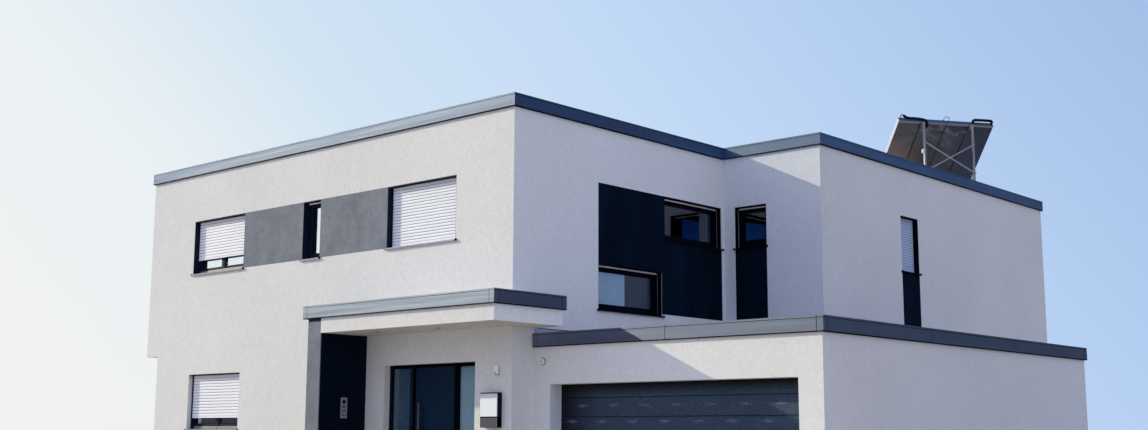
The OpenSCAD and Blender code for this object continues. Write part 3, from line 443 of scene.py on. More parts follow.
def garage_door_paint():
    """Grained sheet, with painted shade at its top and its left end, and rows of painted reflections."""
    door = Surface("garage door paint", (0.041, 0.070, 0.118), roughness=0.5, specular=0.2)
    across, up = door.along(RIGHT), door.along(UP)
    grain = door.noise((17.0, 60.0, 66.0), detail=5.0, roughness=0.6, distortion=0.5)
    door.mottle((0.9, 1.0, 4.0), 0.92, 1.08, detail=4.0)
    door.shade(grain, 0.70, 1.3, 0.36, 0.64)
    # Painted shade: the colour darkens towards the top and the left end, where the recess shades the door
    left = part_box("garage_door")[0].x
    door.shade(across, 0.03, 0.9, left, left + 0.75)
    door.shade(across, 0.9, 1.1, left + 0.6, left + 1.7)
    door.shade(up, 0.05, 1.0, DOOR_PAINTED_SHADE_TOP, DOOR_PAINTED_SHADE_TOP - 0.16)
    door.relief(grain, 0.0022, 0.6)
    # Two rows of lighter patches along the ribs: painted reflections
    for height, spread, shift in ((1.820, 0.034, 0.5), (1.592, 0.038, 0.13)):
        turns = door.sum("SUBTRACT", door.sum("MULTIPLY", across, 1 / DOOR_REFLECTION_STEP), shift)
        wave = door.sum("SINE", door.sum("MULTIPLY", turns, tau), 0)
        off = door.sum("ABSOLUTE", door.sum("SUBTRACT", up, height), 0)
        patch = door.ranged(door.sum("SUBTRACT", wave, door.ranged(off, 0.0, spread)), 0.05, 0.9)
        painted_glints = door.sum("MULTIPLY", patch, door.ranged(grain, 0.4, 0.6, 0.2, 1.0))
        door.tint(painted_glints, (0.17, 0.21, 0.27), 0.0, 1.0, 0.75)
    door.vary_roughness(door.noise((2.0, 1.0, 5.0), detail=4.0), 0.45, 0.6)
    return door


def small_surfaces():
    steel = Surface("brushed steel", (0.22, 0.23, 0.26), roughness=0.45, metallic=0.8)
    brushed = steel.noise((9.0, 260.0, 420.0))
    steel.shade(brushed, 0.88, 1.05, 0.35, 0.65)
    steel.vary_roughness(brushed, 0.34, 0.5)
    lid = Surface("letter box front", (0.88, 0.92, 0.96), roughness=0.4, specular=0.3)
    lid.mottle((4.0, 4.0, 160.0), 0.97, 1.02, 0.35, 0.65)
    lid.relief(lid.noise((6.0, 6.0, 300.0), detail=2.0), 0.0003, 0.3)
    sleeve = Surface("foam sleeve", (0.004, 0.007, 0.022), roughness=0.75, specular=0.2)
    sleeve.mottle(30.0, 0.75, 1.25)
    sleeve.relief(sleeve.noise(160.0), 0.0015, 0.5)
    lens = Surface("sensor lens", (0.75, 0.75, 0.73), roughness=0.25)
    facets = lens.cells(220.0)
    lens.shade(facets, 1.0, 0.8, 0.0, 0.6)
    lens.relief(facets, 0.001, 0.5)
    return {"steel": steel, "lid_metal": lid, "pipe_insulation": sleeve, "lens": lens}


def collector_surfaces():
    sheet = Surface("collector sheet", (0.22, 0.215, 0.22), roughness=0.5, metallic=0.4, specular=0.3)
    across, up = sheet.along(COLLECTOR_ALONG), sheet.along(UP)
    sheet.tint(sheet.noise((1.5, 0.8, 1.5), detail=5.0, distortion=0.8), (0.08, 0.085, 0.10), 0.40, 0.62, 0.8)
    sheet.tint(across, (0.12, 0.135, 0.185), 6.1, 7.3, 0.7)
    warm = sheet.sum("MULTIPLY", sheet.ranged(across, 6.35, 5.5), sheet.ranged(up, 7.75, 7.35))
    sheet.tint(warm, (0.42, 0.30, 0.24), 0.0, 1.0, 0.85)
    sheet.tint(sheet.noise((2.2, 1.2, 2.6), distortion=1.5), (0.40, 0.41, 0.46), 0.58, 0.72, 0.75)
    sheet.vary_roughness(sheet.noise(6.0, detail=4.0), 0.4, 0.6)
    sheet.relief(sheet.noise((3.0, 3.0, 2.0), detail=2.0), 0.006, 0.4)
    aluminium = Surface("aluminium", (0.70, 0.71, 0.75), roughness=0.45, metallic=0.6)
    aluminium.mottle((30.0, 30.0, 4.0), 0.9, 1.04)
    aluminium.vary_roughness(aluminium.noise(12.0, detail=4.0), 0.38, 0.55)
    absorber = Surface("absorber", (0.004, 0.007, 0.022), roughness=0.3, coat=1.0)
    absorber.mottle((14.0, 0.6, 0.6), 0.7, 1.2, detail=2.0)
    absorber.relief(absorber.noise(200.0, detail=1.0), 0.0002, 0.3)
    return {"collector_sheet": sheet, "collector_aluminium": aluminium, "absorber": absorber}


def make_materials():
    """Each finish's material."""
    made = {"door_paint": garage_door_paint(), **stone_surfaces(), **small_surfaces(), **collector_surfaces()}
    for maker, table in ((render_coat, RENDERS), (coping_paint, COPINGS), (painted_metal, PAINTS),
                         (window_glass, PANES), (blind, BLINDS)):
        for name, row in table.items():
            made[name] = maker(name.replace("_", " "), *row)
    dark, grey = made["dark_render"], made["grey_render"]
    dark.tint(dark.noise((1.6, 1.6, 0.3)), (0.002, 0.015, 0.033), 0.45, 0.7, 0.7)
    grey.mottle(3.2, 0.84, 1.12, detail=5.0, roughness=0.6, distortion=0.4)
    # Painted light: the palest blind glows, though it is no lamp
    painted_glow = made["pale_blind"].shader.inputs
    painted_glow["Emission Color"].default_value = (0.052, 0.087, 0.150, 1)
    painted_glow["Emission Strength"].default_value = 1.0
    return {name: surface.material for name, surface in made.items()}


def turned(table):
    """A table from each word of the values to its key."""
    return {other: name for name, others in table.items() for other in others.split()}


# What each built node is finished with, where it isn't its slot in the record
FINISH = turned({
    "lid_metal": "letter_box_door", "box_paint": "letter_box", "leaf_paint": "front_door",
    "door_frame_paint": "door_frame", "side_frame_paint": "side_window_frames side_sills",
    "light_ring": "soffit_lights", "station_metal": "door_station", "main_coping_metal": "main_coping",
    "garage_coping_metal": "garage_coping", "flashing": "wall_flashing", "side_shutter_metal": "side_shutters",
    "front_glass": "front_window_glass", "canopy_render": "canopy", "wing_render": "wing_front_wall_upper",
    "garage_render": "garage_front_wall", "weather_render": "left_wall_ground left_wall_upper",
    "plain_render": "back_wall_ground back_wall_upper garage_back_wall garage_side_wall wing_side_wall_ground "
                    "wing_side_wall_upper"})


def dress_nodes():
    slots = {part["node"]: part["material_slot"] for part in frame["record"]["subparts"]}
    for name, node in NODES.items():
        node.data.materials.clear()
        node.data.materials.append(materials[FINISH.get(name, slots[name])])
        for face in node.data.polygons:
            face.material_index = 0
            face.use_smooth = name == "collector_pipes"
    NODES["collector_pipes"].modifiers.new("edges", "EDGE_SPLIT").split_angle = radians(50)


# Shapes

def at(x, y, z):
    """A place in the frame from the house's own millimetres."""
    return CORNER + Vector((x, y, z)) / 1000


def new_piece(name, data, finish, body="house"):
    piece = add_object(name, data)
    data.materials.append(materials[finish])
    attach(piece, body)
    return piece


def finished(name, mesh):
    """A built mesh as data for an object."""
    data = bpy.data.meshes.new(name)
    mesh.to_mesh(data)
    mesh.free()
    return data


def box_into(mesh, low, high, turn=None):
    """Adds a box from its lowest to its highest corner, turned by a matrix."""
    low, high = Vector(low), Vector(high)
    made = bmesh.ops.create_cube(mesh, size=1.0)["verts"]
    move = Matrix.Translation((low + high) / 2) @ Matrix.Diagonal((*(high - low), 1.0))
    bmesh.ops.transform(mesh, matrix=(turn or Matrix.Identity(4)) @ move, verts=made)


def boxes(name, rows, finish, body="house", soften=0.0):
    """One piece from boxes, each a pair of corners with or without a matrix, their edges softened."""
    mesh = bmesh.new()
    for row in rows:
        box_into(mesh, *row)
    if soften:
        bmesh.ops.bevel(mesh, geom=mesh.edges[:], offset=soften, segments=2, profile=0.5, affect="EDGES")
    new_piece(name, finished(name, mesh), finish, body)


def trim(name, finish, *rows, body="house", soften=0.0):
    """One piece from boxes, each a pair of corners in the house's own millimetres."""
    boxes(name, [(at(*low), at(*high)) for low, high in rows], finish, body, soften)


def discs(name, rows, finish, body="house", sides=32):
    """One piece from turned profiles: each row is a place, the axis it turns on and (radius, height) steps."""
    mesh = bmesh.new()
    angles = [k * tau / sides for k in range(sides)]
    for place, axis, profile in rows:
        turn = Matrix.Translation(place) @ Vector(axis).to_track_quat("Z", "Y").to_matrix().to_4x4()
        rings = [[mesh.verts.new(turn @ Vector((radius * cos(angle), radius * sin(angle), height)))
                  for angle in angles] for radius, height in profile]
        for a, b in zip(rings, rings[1:]):
            for k in range(sides):
                mesh.faces.new((a[k], a[(k + 1) % sides], b[(k + 1) % sides], b[k]))
        mesh.faces.new(list(reversed(rings[0])))
        mesh.faces.new(rings[-1])
    bmesh.ops.recalc_face_normals(mesh, faces=mesh.faces[:])
    data = finished(name, mesh)
    data.shade_smooth()
    new_piece(name, data, finish, body).modifiers.new("edges", "EDGE_SPLIT").split_angle = radians(35)


def tube(name, points, radius, finish, rounded=True):
    """A round tube along points, as a mesh."""
    curve = put(bpy.data.curves.new(name, "CURVE"), dimensions="3D", bevel_depth=radius, bevel_resolution=6,
                resolution_u=6, use_fill_caps=True)
    spline = curve.splines.new("NURBS" if rounded else "POLY")
    spline.points.add(len(points) - 1)
    for target, point in zip(spline.points, points):
        target.co = (*point, 1.0)
    if rounded:
        spline.order_u = 3
        spline.use_endpoint_u = True
    holder = add_object(name + ".curve", curve)
    bpy.context.view_layer.update()
    data = bpy.data.meshes.new_from_object(holder.evaluated_get(bpy.context.evaluated_depsgraph_get()))
    bpy.data.objects.remove(holder)
    data.name = name
    data.materials.clear()
    data.shade_smooth()
    new_piece(name, data, finish)


def islands(name):
    """The lowest and highest corners of each separate solid of a built node."""
    data = NODES[name].data
    spots = [tuple(round(c, 5) for c in vertex.co) for vertex in data.vertices]
    joined = {spot: spot for spot in spots}

    def root(spot):
        while joined[spot] != spot:
            joined[spot] = joined[joined[spot]]
            spot = joined[spot]
        return spot

    for face in data.polygons:
        first = root(spots[face.vertices[0]])
        for v in face.vertices[1:]:
            joined[root(spots[v])] = first
    found = {}
    for spot in joined:
        low, high = found.setdefault(root(spot), (list(spot), list(spot)))
        for axis, value in enumerate(spot):
            low[axis] = min(low[axis], value)
            high[axis] = max(high[axis], value)
    return sorted((Vector(low), Vector(high)) for low, high in found.values())


# Trim of the windows

GLASS_NODES = ("front_window_glass", "side_window_glass", "rear_window_glass", "side_light_glass")
SILL_NODES = ("front_sills", "side_sills", "rear_sills")
GASKET_W = 0.009
GASKET_PROUD = 0.003
# The caps on a sill's ends
CAP_OVER = 0.004
CAP_H = 0.034
CAP_DEEP = 0.042
# A window's own places: x across from its left edge, y into the wall from the wall's face, z up from its sill
FRAME_BACK = 0.192
FRAME_FRONT = 0.122
FRAME_W = 0.062
PANE_IN = 0.104
RAIL_W = 0.040
RAIL_FRONT = 0.082
HEAD_T = 0.018
SLAT_H = 0.0495
SLAT_SLACK = 0.0045
END_BAR_H = 0.028
BLIND_Y = 0.186


def upright_frame(start, along, out):
    """The matrix from places along, out and up from a start."""
    return Matrix.Translation(start) @ Matrix((along, out, Vector(UP))).transposed().to_4x4()


def wall_axis(low, high):
    """The axis that a pane, a sill or a frame looks along: y where it is wider in x."""
    return 1 if high.x - low.x > high.y - low.y else 0


class Window:
    """One window of a node: its size, and the matrix from its own places to the frame."""

    def __init__(self, low, high):
        axis = wall_axis(low, high)
        side = 1 - axis
        inward, start = Vector((0, 0, 0)), Vector(low)
        inward[axis] = 1 if (low + high)[axis] < 0 else -1
        start[axis] = high[axis] - FRAME_BACK if inward[axis] > 0 else low[axis] + FRAME_BACK
        along = inward.cross(Vector(UP))
        if along[side] < 0:
            start[side] = high[side]
        self.width = high[side] - low[side]
        self.height = high.z - low.z
        self.two_leaves = self.width > 1.2 and self.height > 0.9
        self.matrix = upright_frame(start, along, inward)

    def holds(self, low, high):
        spot = self.matrix.inverted() @ ((low + high) / 2)
        return 0 < spot.x < self.width and 0 < spot.y < FRAME_BACK and 0 < spot.z < self.height

    def rail_line(self, x, wide, proud=0.0015, foot=0.02):
        """The row for a box: a painted highlight line on a guide rail, up to the head."""
        return (x, RAIL_FRONT - proud, foot), (x + wide, RAIL_FRONT, self.height - HEAD_T), self.matrix


def windows(part):
    return [Window(low, high) for low, high in islands(part + "_window_frames")]


def side_window(x, y, z):
    """The side window that is nearest to a place."""
    place = at(x, y, z)
    return min(windows("side"), key=lambda w: (w.matrix @ Vector((w.width / 2, 0, w.height / 2)) - place).length)


def gasket_bars(low, high):
    """Four bars round the edge of a pane, standing proud on both faces."""
    thin = wall_axis(low, high)
    along = 1 - thin
    rows = []
    for axis in (along, 2):
        for far in (False, True):
            a, b = Vector(low), Vector(high)
            if far:
                a[axis] = b[axis] - GASKET_W
            else:
                b[axis] = a[axis] + GASKET_W
            if axis == 2:
                a[along] += GASKET_W
                b[along] -= GASKET_W
            a[thin] -= GASKET_PROUD
            b[thin] += GASKET_PROUD
            rows.append((a, b))
    return rows


def dress_glass_and_sills():
    for name in GLASS_NODES:
        rows = [row for low, high in islands(name) for row in gasket_bars(low, high)]
        boxes(name.replace("glass", "gaskets"), rows, "gasket", soften=0.0015)
    for name in SILL_NODES:
        rows = []
        for low, high in islands(name):
            axis = wall_axis(low, high)
            along = 1 - axis
            for end in (low[along], high[along]):
                a, b = Vector(low), Vector(high)
                a[along], b[along] = end - CAP_OVER, end + CAP_OVER
                a.z, b.z = low.z - CAP_OVER, low.z + CAP_H
                if (low + high)[axis] > 0:
                    a[axis] = high[axis] - CAP_DEEP
                else:
                    b[axis] = low[axis] + CAP_DEEP
                rows.append((a, b))
        boxes(name + "_end_caps", rows, "gasket", soften=0.002)


def dress_shutters():
    """The dark slots between slats, and the rubber under the end bars."""
    for part in ("front", "side", "rear"):
        slots, rubbers, bars = [], [], []
        frames = windows(part)
        for low, high in islands(part + "_shutters"):
            window = next(w for w in frames if w.holds(low, high))
            foot = low.z - window.matrix.translation.z
            top = window.height - HEAD_T
            pitch = SLAT_H + (SLAT_SLACK if foot > 0.1 else 0.0)
            count = max(0, int((top - foot - END_BAR_H) / pitch + 1e-3))
            left, right = RAIL_W + 0.0005, window.width - RAIL_W - 0.0005
            for i in range(1, count + 1):
                z = top - i * pitch
                slots.append(((left, 0.0935, z - 0.002), (right, 0.0962, z + 0.006), window.matrix))
            rubbers.append(((left, 0.0925, foot - 0.007), (right, 0.101, foot + 0.001), window.matrix))
            if not count:
                bars.append(((left, 0.0885, foot + 0.001), (right, 0.0902, foot + END_BAR_H - 0.002), window.matrix))
        if slots:
            boxes(part + "_slat_slots", slots, "slat_gap")
        if bars:
            boxes(part + "_end_bar_faces", bars, "end_bar_metal", soften=0.0005)
        boxes(part + "_end_bar_rubbers", rubbers, "gasket")


def dress_front_windows():
    """Painted highlight lines on the guide rails, pale strips on the lower frame bars that paint their sheen, and
    small drain caps.
    """
    caps, lines, bars = [], [], []
    for window in windows("front"):
        middle = window.width / 2
        if window.two_leaves:
            caps.append(((middle - 0.012, FRAME_FRONT - 0.006, 0.024), (middle + 0.012, FRAME_FRONT, 0.042),
                         window.matrix))
            # Pale metal strips on the lower frame bars: the painted sheen that the dark frames catch in the light
            for x in (RAIL_W, middle + 0.004):
                bars.append(((x + 0.001, FRAME_FRONT - 0.003, 0.016),
                             (x + middle - RAIL_W - 0.005, FRAME_FRONT, 0.0605), window.matrix))
        # Lines on the rails: painted highlights of their edges
        lines += [window.rail_line(x, 0.004, 0.0012, 0.016) for x in (0.012, window.width - 0.016)]
    boxes("drain_caps", caps, "black_plastic", soften=0.0012)
    boxes("frame_bar_sheen_covers", bars, "frame_bar", soften=0.001)
    boxes("front_rail_highlights", lines, "stile_paint")


def far_plate(name, window, left_low, right_low, right_high, left_high, finish):
    """A thin upright plate behind a window's pane, from the height of each corner."""
    mesh = bmesh.new()
    far = window.width - FRAME_W
    points = ((PANE_IN, left_low), (far, right_low), (far, right_high), (PANE_IN, left_high))
    front, back = [[mesh.verts.new(window.matrix @ Vector((x, y, z))) for x, z in points]
                   for y in (BLIND_Y, BLIND_Y + 0.002)]
    mesh.faces.new(front)
    mesh.faces.new(list(reversed(back)))
    for k in range(len(points)):
        after = (k + 1) % len(points)
        mesh.faces.new((front[after], front[k], back[k], back[after]))
    bmesh.ops.recalc_face_normals(mesh, faces=mesh.faces[:])
    new_piece(name, finished(name, mesh), finish)


def dress_side_windows():
    """Plates behind the panes: painted reflections in the low and the wing window, the palest of them glowing, and
    inner blinds and the room's far frames seen through the high window; and painted highlight lines on the rails and
    reveals.
    """
    low_window = side_window(0, 2750, 3730)
    high_window = side_window(0, 4460, 5030)
    wing_window = side_window(570, 5360, 5030)
    far = low_window.width - FRAME_W
    wing_far = wing_window.width - FRAME_W
    top = low_window.height - FRAME_W
    foot = FRAME_W
    # Each piece's window, finish and softened edge, and its panels: the lower left and upper right corner across and
    # up, and how many steps each stands back from the blinds' plane
    for name, window, finish, soften, *panels in (
            # The low window's pale and dusk plates are painted reflections
            ("low_window_pale_blind", low_window, "pale_blind", 0.001, (FRAME_W, foot, 0.855, top, 0)),
            ("low_window_dusk_blind", low_window, "dusk_blind", 0.001, (0.856, foot, far, top, 0)),
            ("low_window_edge", low_window, "teal_blind", 0.0, (1.446, foot, far, top, -5)),
            ("low_window_bar", low_window, "dark_blind", 0.0, (1.430, foot, 1.445, top, -5)),
            ("high_window_blind", high_window, "grey_blind", 0.001, (FRAME_W, foot, far, top, 4)),
            ("high_window_far_frame", high_window, "dark_blind", 0.0, (0.408, foot, 0.718, 0.560, -4),
             (0.718, 0.460, 1.235, 0.560, -4), (1.362, foot, 1.395, top, -4)),
            ("high_window_far_pane", high_window, "blue_blind", 0.0, (0.718, foot, 1.222, 0.460, -3)),
            ("high_window_edge", high_window, "teal_blind", 0.0, (1.396, foot, far, top, -3)),
            ("wing_window_blind", wing_window, "dark_blind", 0.0, (FRAME_W, foot, wing_far, top, 4))):
        rows = []
        for x0, z0, x1, z1, deep in panels:
            y = BLIND_Y + 0.0004 * deep
            rows.append(((x0, y, z0), (x1, y + 0.003, z1), window.matrix))
        boxes(name, rows, finish, soften=soften)
    # The deep blue plate behind the wing window's pane is a painted reflection of the sky
    far_plate("wing_window_sky_reflection", wing_window, 0.155, 0.155, 0.380, 0.485, "deep_blind")
    far_plate("wing_window_far_line", wing_window, 0.590, 0.408, 0.418, 0.602, "grey_blind")
    # Pale lines on the rails and at the reveals' edges: painted highlights
    lines = []
    for window in (low_window, high_window):
        edge = window.width
        lines.append(((edge - 0.011, 0.001, 0.02), (edge - 0.008, 0.009, window.height - 0.02), window.matrix))
        lines.append(window.rail_line(edge - 0.030, 0.004))
    lines += [wing_window.rail_line(x, 0.003) for x in (0.012, 0.026)]
    boxes("side_rail_highlights", lines, "rail_line")


def dress_heads():
    """Black strips in front of the shutters under the heads of the lined reveals: brush seals, and painted shade under
    the heads.
    """
    for part in ("front", "side"):
        boxes(part + "_head_brush_shades", [
            ((0.009, 0.004, w.height - HEAD_T - 0.002), (w.width - 0.009, 0.086, w.height - HEAD_T + 0.001), w.matrix)
            for w in windows(part)], "gasket")


# Copings

# How far a coping stands out of its wall, how long its sheets are, and its joint strips and the painted shade line
# under its top edge, in metres
COPING_OUT = 0.040
COPING_SHEET = 3.0
CORNER_SHEET = 0.1
JOINT_HALF = 0.004
JOINT_PROUD = 0.0012
SHADE_LINE_DOWN = 0.025
SHADE_LINE_H = 0.007
SHADE_LINE_PROUD = 0.0008


def joint_places(length):
    """Where the metal sheets of a run of coping meet."""
    count = max(1, round((length - 2 * CORNER_SHEET) / COPING_SHEET))
    step = (length - 2 * CORNER_SHEET) / count
    return [CORNER_SHEET + i * step for i in range(count + 1)]


def dress_coping(name, corners, top, height, joint_finish):
    """Along the outer line of a coping: covered sheet joints, and dark strips of painted shade: a line under the top
    edge, a line at the drip edge and a strip under the coping against the wall.
    """
    joints, lip_shade_lines, drip_shade_lines, under_shade_strips = [], [], [], []
    foot = top - height
    for a, b in zip(corners, corners[1:]):
        a, b = Vector((*a, 0.0)), Vector((*b, 0.0))
        along = (b - a).normalized()
        out = Vector((along.y, -along.x, 0.0))
        length = (b - a).length
        start = upright_frame(a, along, out)
        for place in joint_places(length):
            joints.append(((place - JOINT_HALF, -0.004, foot + 0.004), (place + JOINT_HALF, JOINT_PROUD, top - 0.001),
                           start))
        # Dark strips of painted shade: under the top edge, at the drip edge, and under the coping's open underside
        lip_shade_lines.append(((0, -0.004, top - SHADE_LINE_DOWN - SHADE_LINE_H), (length, SHADE_LINE_PROUD, top - SHADE_LINE_DOWN), start))
        drip_shade_lines.append(((0, -0.006, foot - 0.005), (length, SHADE_LINE_PROUD, foot + 0.004), start))
        under_shade_strips.append(((0, -COPING_OUT, foot - 0.009), (length, -0.010, foot + 0.006), start))
    for part, rows, finish in (("_joints", joints, joint_finish), ("_lip", lip_shade_lines, "coping_lip"),
                               ("_drip_shade", drip_shade_lines, "coping_lip"), ("_seal", under_shade_strips, "gasket")):
        boxes(name + part, rows, finish)


def dress_copings():
    wing_low, wing_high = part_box("wing_front_wall_upper")
    low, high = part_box("main_coping")
    height = high.z - low.z
    inner = CORNER.x + COPING_OUT
    notch = wing_low.y - COPING_OUT
    dress_coping("main_coping", [(low.x, low.y), (inner, low.y), (inner, notch), (high.x, notch), (high.x, high.y),
                                 (low.x, high.y), (low.x, low.y)], high.z, height, "main_coping_metal")
    low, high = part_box("garage_coping")
    wing_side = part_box("wing_side_wall_upper")[1].x
    dress_coping("garage_coping", [(CORNER.x, low.y), (high.x, low.y), (high.x, high.y), (wing_side, high.y)],
                 high.z, height, "coping_joint")
    low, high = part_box("canopy_coping")
    dress_coping("canopy_coping", [(low.x, CORNER.y), (low.x, low.y), (high.x, low.y), (high.x, high.y)],
                 high.z, height, "coping_joint")
    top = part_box("wall_flashing")[1].z
    boxes("flashing_line", [
        ((CORNER.x, CORNER.y + 0.55, top - 0.004), (CORNER.x + 0.009, wing_low.y, top + 0.006)),
        ((CORNER.x, wing_low.y - 0.009, top - 0.004), (wing_high.x, wing_low.y, top + 0.006))], "coping_lip")


# Entrance, in the house's own millimetres

DOOR_Y = 120
DOOR_TOP = 2440
DOOR_FOOT = 270
FILM_Y = 175
POST_Y = (DOOR_Y - 3, DOOR_Y + 0.5)
SEAL_Y = (DOOR_Y + 20, DOOR_Y + 60)
STATION_FACE = -3296
STATION_MIDDLE = -443
# The trims of the letter box's front, and of the newspaper tube under it
LID_OUT, LID_IN = -107.4, -105.9
TUBE_IN = -99.9


def dress_entrance():
    low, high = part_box("wing_wall")
    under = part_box("canopy_coping")[0].z
    # A dark plate on the head of the wing wall, under the canopy's coping: the coping's painted shadow
    boxes("wing_wall_head_shadow", [((low.x + 0.004, low.y - 0.003, under - 0.058),
                                   (high.x - 0.001, low.y + 0.002, under - 0.002))], "head_trim", soften=0.001)
    # One satin film in two copies: the left darker, as painted shade, the right paler, as a painted reflection of
    # bright surroundings
    for name, finish, x0, x1 in (("left", "satin_film", -2810, -2365), ("right", "pale_film", -1260, -815)):
        trim(name + "_light_film", finish, ((x0, FILM_Y, DOOR_FOOT), (x1, FILM_Y + 2, DOOR_TOP)))
    front, back = POST_Y
    # Near-black covers on the leaf's left edge, on the post at its right and over its head: painted shadow in the gaps
    # round the leaf
    trim("door_leaf_shadow_edge", "post_paint", ((-2282, DOOR_Y - 1.5, 240), (-2227, back, 2432)), body="door_leaf",
         soften=0.0005)
    trim("door_post_shadow_covers", "post_paint", ((-1331, front, 272), (-1261, back, 2439)),
         ((-2853, front, 2442), (-772, back, 2483)), soften=0.0008)
    trim("door_post_line", "leaf_paint", ((-2364, front, 272), (-2296, back, 2439)), soften=0.0008)
    front, back = SEAL_Y
    trim("door_seals", "gasket", ((-2290, front, 240), (-2286, back, 2438)),
         ((-2280, front, 2435.5), (-1340, back, 2438.5)))
    discs("door_handle_ends", [(at(-2083, 58, 1881), UP, [(0.0186, 0.0), (0.0186, 0.0005), (0.0165, 0.003)])],
          "steel", body="door_leaf")
    discs("soffit_light_lenses", [(at(x, y, 2985), UP, [(0.0325, 0), (0.0325, 0.005)])
                                  for x, y in ((-2465, -491), (-1136, -432))], "black_plastic")


def dress_station():
    """The lens and the buttons of the door station."""
    discs("station_lens", [(at(STATION_FACE - 2, STATION_MIDDLE, 1908), RIGHT,
                            [(0.035, 0), (0.035, 0.003), (0.028, 0.007), (0.014, 0.009)])], "black_plastic")
    rows = []
    for z, places, wide, high in ((1829, (-18, 18), 25, 38), (1769, (-18, 18), 25, 30), (1701, (-35, 0, 35), 22, 24)):
        for y in places:
            y += STATION_MIDDLE
            rows.append(((STATION_FACE - 1, y - wide / 2 + 1, z - high / 2 + 1),
                         (STATION_FACE + 1.5, y + wide / 2 - 1, z + high / 2 - 1)))
    trim("station_buttons", "black_plastic", *rows, soften=0.0006)
    trim("station_seal", "gasket", ((-3310, -508, 1647), (-3307, -378, 1980)), soften=0.001)


def dress_letter_box():
    # The top fifth of the box's front is a shade darker: partly the flap, partly a painted reflection
    trim("letter_box_flap_reflection", "flap_metal", ((-541, LID_OUT, 1930), (-199, LID_IN, 1993)), body="letter_lid",
         soften=0.0005)
    # Pale strips on the right and bottom edges of the front and on the tube's right edge: painted highlights
    trim("letter_box_lid_highlights", "bright_edge", ((-203, LID_OUT, 1664), (-196, LID_IN, 1994)),
         ((-541, LID_OUT, 1664), (-204, LID_IN, 1671)), body="letter_lid", soften=0.0005)
    trim("newspaper_tube_front", "tube_paint", ((-544, -102, 1505), (-196, TUBE_IN, 1644)), soften=0.001)
    trim("newspaper_tube_highlight", "tube_edge", ((-202, -103, 1506), (-196, TUBE_IN, 1644)), soften=0.0006)
    trim("letter_box_gap", "gasket", ((-545, -103, 1646), (-195, TUBE_IN, 1661)), soften=0.0006)


def dress_sensors():
    # A dark rim behind the sensor, wider at the right and bottom: its painted shadow
    trim("sensor_seal", "gasket", ((-337, -3, 2268), (-254, 0, 2405)), soften=0.001)
    discs("sensor_lens", [(at(-282, -61, 2298), (0.6, -0.8, 0), [(0.011, -0.004), (0.011, 0.002), (0.007, 0.004)])],
          "black_plastic")
    discs("round_sensor_seal", [(at(180, 470, 2469), (0, -1, 0), [(0.056, 0), (0.056, 0.006)])], "tube_paint")
    discs("round_sensor_lens", [(at(180, 446.5, 2469), (0, -1, 0), [(0.026, 0), (0.022, 0.004), (0.012, 0.006)])],
          "lens")


# Garage door

RIB_PITCH = 275
RIB_FOOT = 10


def dress_garage_door():
    """Dark lines in the ribs, and at each joint of two sections a strip that paints the highlight on its lip."""
    low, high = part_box("garage_door")
    front = low.y
    joints, edges = [], []
    for i in range(1, 9):
        z = (RIB_FOOT + i * RIB_PITCH) / 1000
        joints.append(((low.x, front + 0.005, z - 0.0035), (high.x, front + 0.0085, z + 0.0035)))
        if i % 2 == 0:
            # A painted highlight line under the joint
            edges.append(((low.x, front - 0.0008, z - 0.017), (high.x, front + 0.001, z - 0.0115)))
    boxes("garage_door_joints", joints, "gasket")
    boxes("garage_door_edge_highlights", edges, "door_edge")


# Roof collectors: two trays side by side, hinged on their top edge on two posts

TRAY_LONG, TRAY_WIDE, TRAY_THICK = 2.070, 1.090, 0.100
TRAYS = (0, 1.110)
POSTS = (0.550, 1.6808)


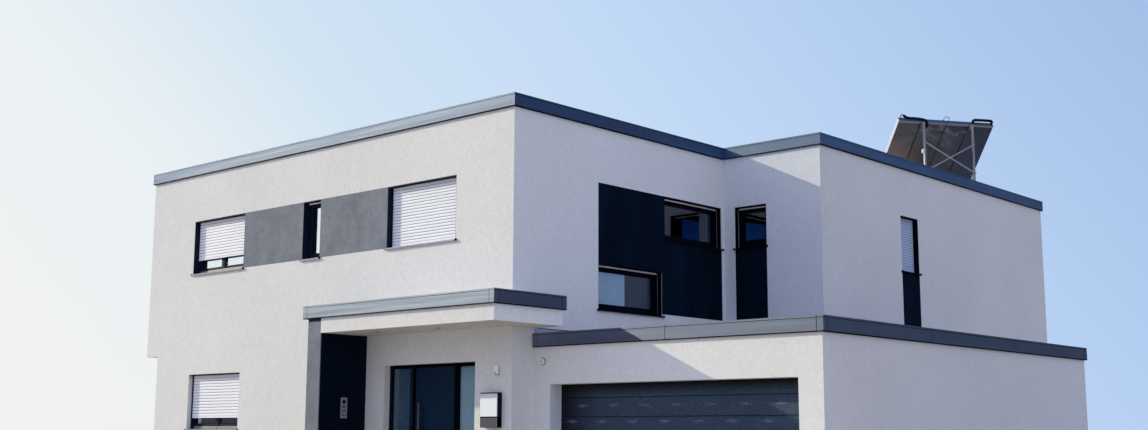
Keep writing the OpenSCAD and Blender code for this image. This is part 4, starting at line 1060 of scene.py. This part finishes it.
def dress_collectors():
    turn = Matrix.Rotation(COLLECTOR_TURN, 4, "Z")
    upright = Matrix.Translation(at(450, 11118, 0)) @ turn
    hinge = Matrix.Translation(at(450, 11118, 7985)) @ turn
    slope = hinge @ Matrix.Rotation(radians(-43.3), 4, "X")
    behind = turn @ Vector((0, -1, 0))
    foot = TRAY_LONG - 0.01

    def on_trays(name, finish, rows, soften=0.001):
        boxes(name, [(low, high, slope) for low, high in rows], finish, soften=soften)

    on_trays("tray_top_rail", "tray_rail", [((0.020, -0.003, 0.012), (1.690, 0.001, 0.090))])
    on_trays("tray_hems", "hem", [((x + 0.004, 0.004, -0.004), (x + TRAY_WIDE - 0.004, 0.052, 0.001)) for x in TRAYS])
    on_trays("tray_side_strip", "side_strip", [((-0.004, 0.004, 0.004),
                                                (0.001, TRAY_LONG - 0.004, TRAY_THICK - 0.004))])
    on_trays("tray_seam_lines", "gasket", [((a, 0.056, -0.0025), (b, foot, 0.001)) for a, b in (
        (0.500, 0.513), (1.083, 1.090), (1.110, 1.117), (1.612, 1.624))], soften=0.0)
    on_trays("tray_battens", "batten", [((1.0905, 0.004, -0.005), (1.1095, foot, 0.012)),
                                        ((0.527, 0.056, -0.006), (0.536, foot, 0.001)),
                                        ((1.637, 0.056, -0.006), (1.646, foot, 0.001))])
    on_trays("absorber_plates", "absorber", [((x + 0.0285, 0.0285, 0.0855),
                                              (x + TRAY_WIDE - 0.0285, TRAY_LONG - 0.0285, 0.0885)) for x in TRAYS])
    ribs = [x + 0.085 + i * 0.115 for x in TRAYS for i in range(9)]
    on_trays("absorber_ribs", "absorber", [((x - 0.006, 0.04, 0.088), (x + 0.006, TRAY_LONG - 0.04, 0.0915))
                                           for x in ribs], soften=0.002)
    discs("post_holes", [(upright @ Vector((x, -0.0398, 6.47 + i * 0.064)), behind, [(0.0065, 0), (0.0065, 0.001)])
                         for x in POSTS for i in range(23)], "gasket", sides=12)
    tube("collector_stay", [upright @ Vector(p) for p in ((1.626, -0.037, 6.874), (1.655, -0.030, 7.400))], 0.0045,
         "gasket", rounded=False)
    tube("collector_wire_hoop", [hinge @ Vector(p) for p in (
        (1.029, 0.034, 0.036), (1.029, -0.010, 0.077), (1.036, -0.028, 0.112), (1.062, -0.034, 0.124),
        (1.120, -0.034, 0.124), (1.146, -0.028, 0.112), (1.153, -0.010, 0.077), (1.153, 0.034, 0.036))], 0.006,
        "gasket")
    left = [(92, -22, 99), (124, -28, 72), (150, -32, 56), (190, -36, 48), (260, -38, 47), (364, -40, 48),
            (440, -42, 44), (500, -46, 34), (545, -50, 26), (580, -54, 16), (600, -56, -6), (608, -56, -34),
            (608, -50, -68), (608, -34, -98), (608, -12, -118)]
    right = [(1717, 10, 66), (1722, -4, 82), (1738, -8, 96), (1764, -10, 102), (2118, -10, 104), (2144, -8, 98),
             (2160, -4, 84), (2165, 10, 66)]
    for name, route in (("left", left), ("right", right)):
        tube(name + "_hose_sleeve", [hinge @ (Vector(p) / 1000) for p in route], 0.0295, "pipe_insulation")
    boxes("collector_junction_box", [((0.485, -0.045, 7.295), (0.5305, -0.010, 7.381), upright)], "white_plastic",
          soften=0.003)
    discs("brace_bolts", [(upright @ Vector((x, -0.088, z)), behind, [(0.009, 0), (0.009, 0.005), (0.005, 0.008)])
                          for x in POSTS for z in (6.915, 7.535)], "steel", sides=6)


def make_floor():
    """A plain pale floor round the house."""
    mesh = bmesh.new()
    bmesh.ops.create_circle(mesh, cap_ends=True, segments=96, radius=90.0)
    floor = add_object("floor", finished("floor", mesh))
    floor.location.z = -0.001
    surface = Surface("floor", (0.47, 0.425, 0.355), roughness=0.95, specular=0.1)
    surface.mottle(0.3, 0.985, 1.0, detail=2.0)
    # Gloss sees the floor dimmer, as it does the backdrop
    surface.shade(surface.node("ShaderNodeLightPath").outputs["Is Glossy Ray"], 1.0, 0.2, 0.0, 1.0)
    floor.data.materials.append(surface.material)


make_camera()
make_lamps()
make_world()
make_floor()
materials = make_materials()
dress_nodes()
dress_glass_and_sills()
dress_shutters()
dress_front_windows()
dress_side_windows()
dress_heads()
dress_copings()
dress_entrance()
dress_station()
dress_letter_box()
dress_sensors()
dress_garage_door()
dress_collectors()
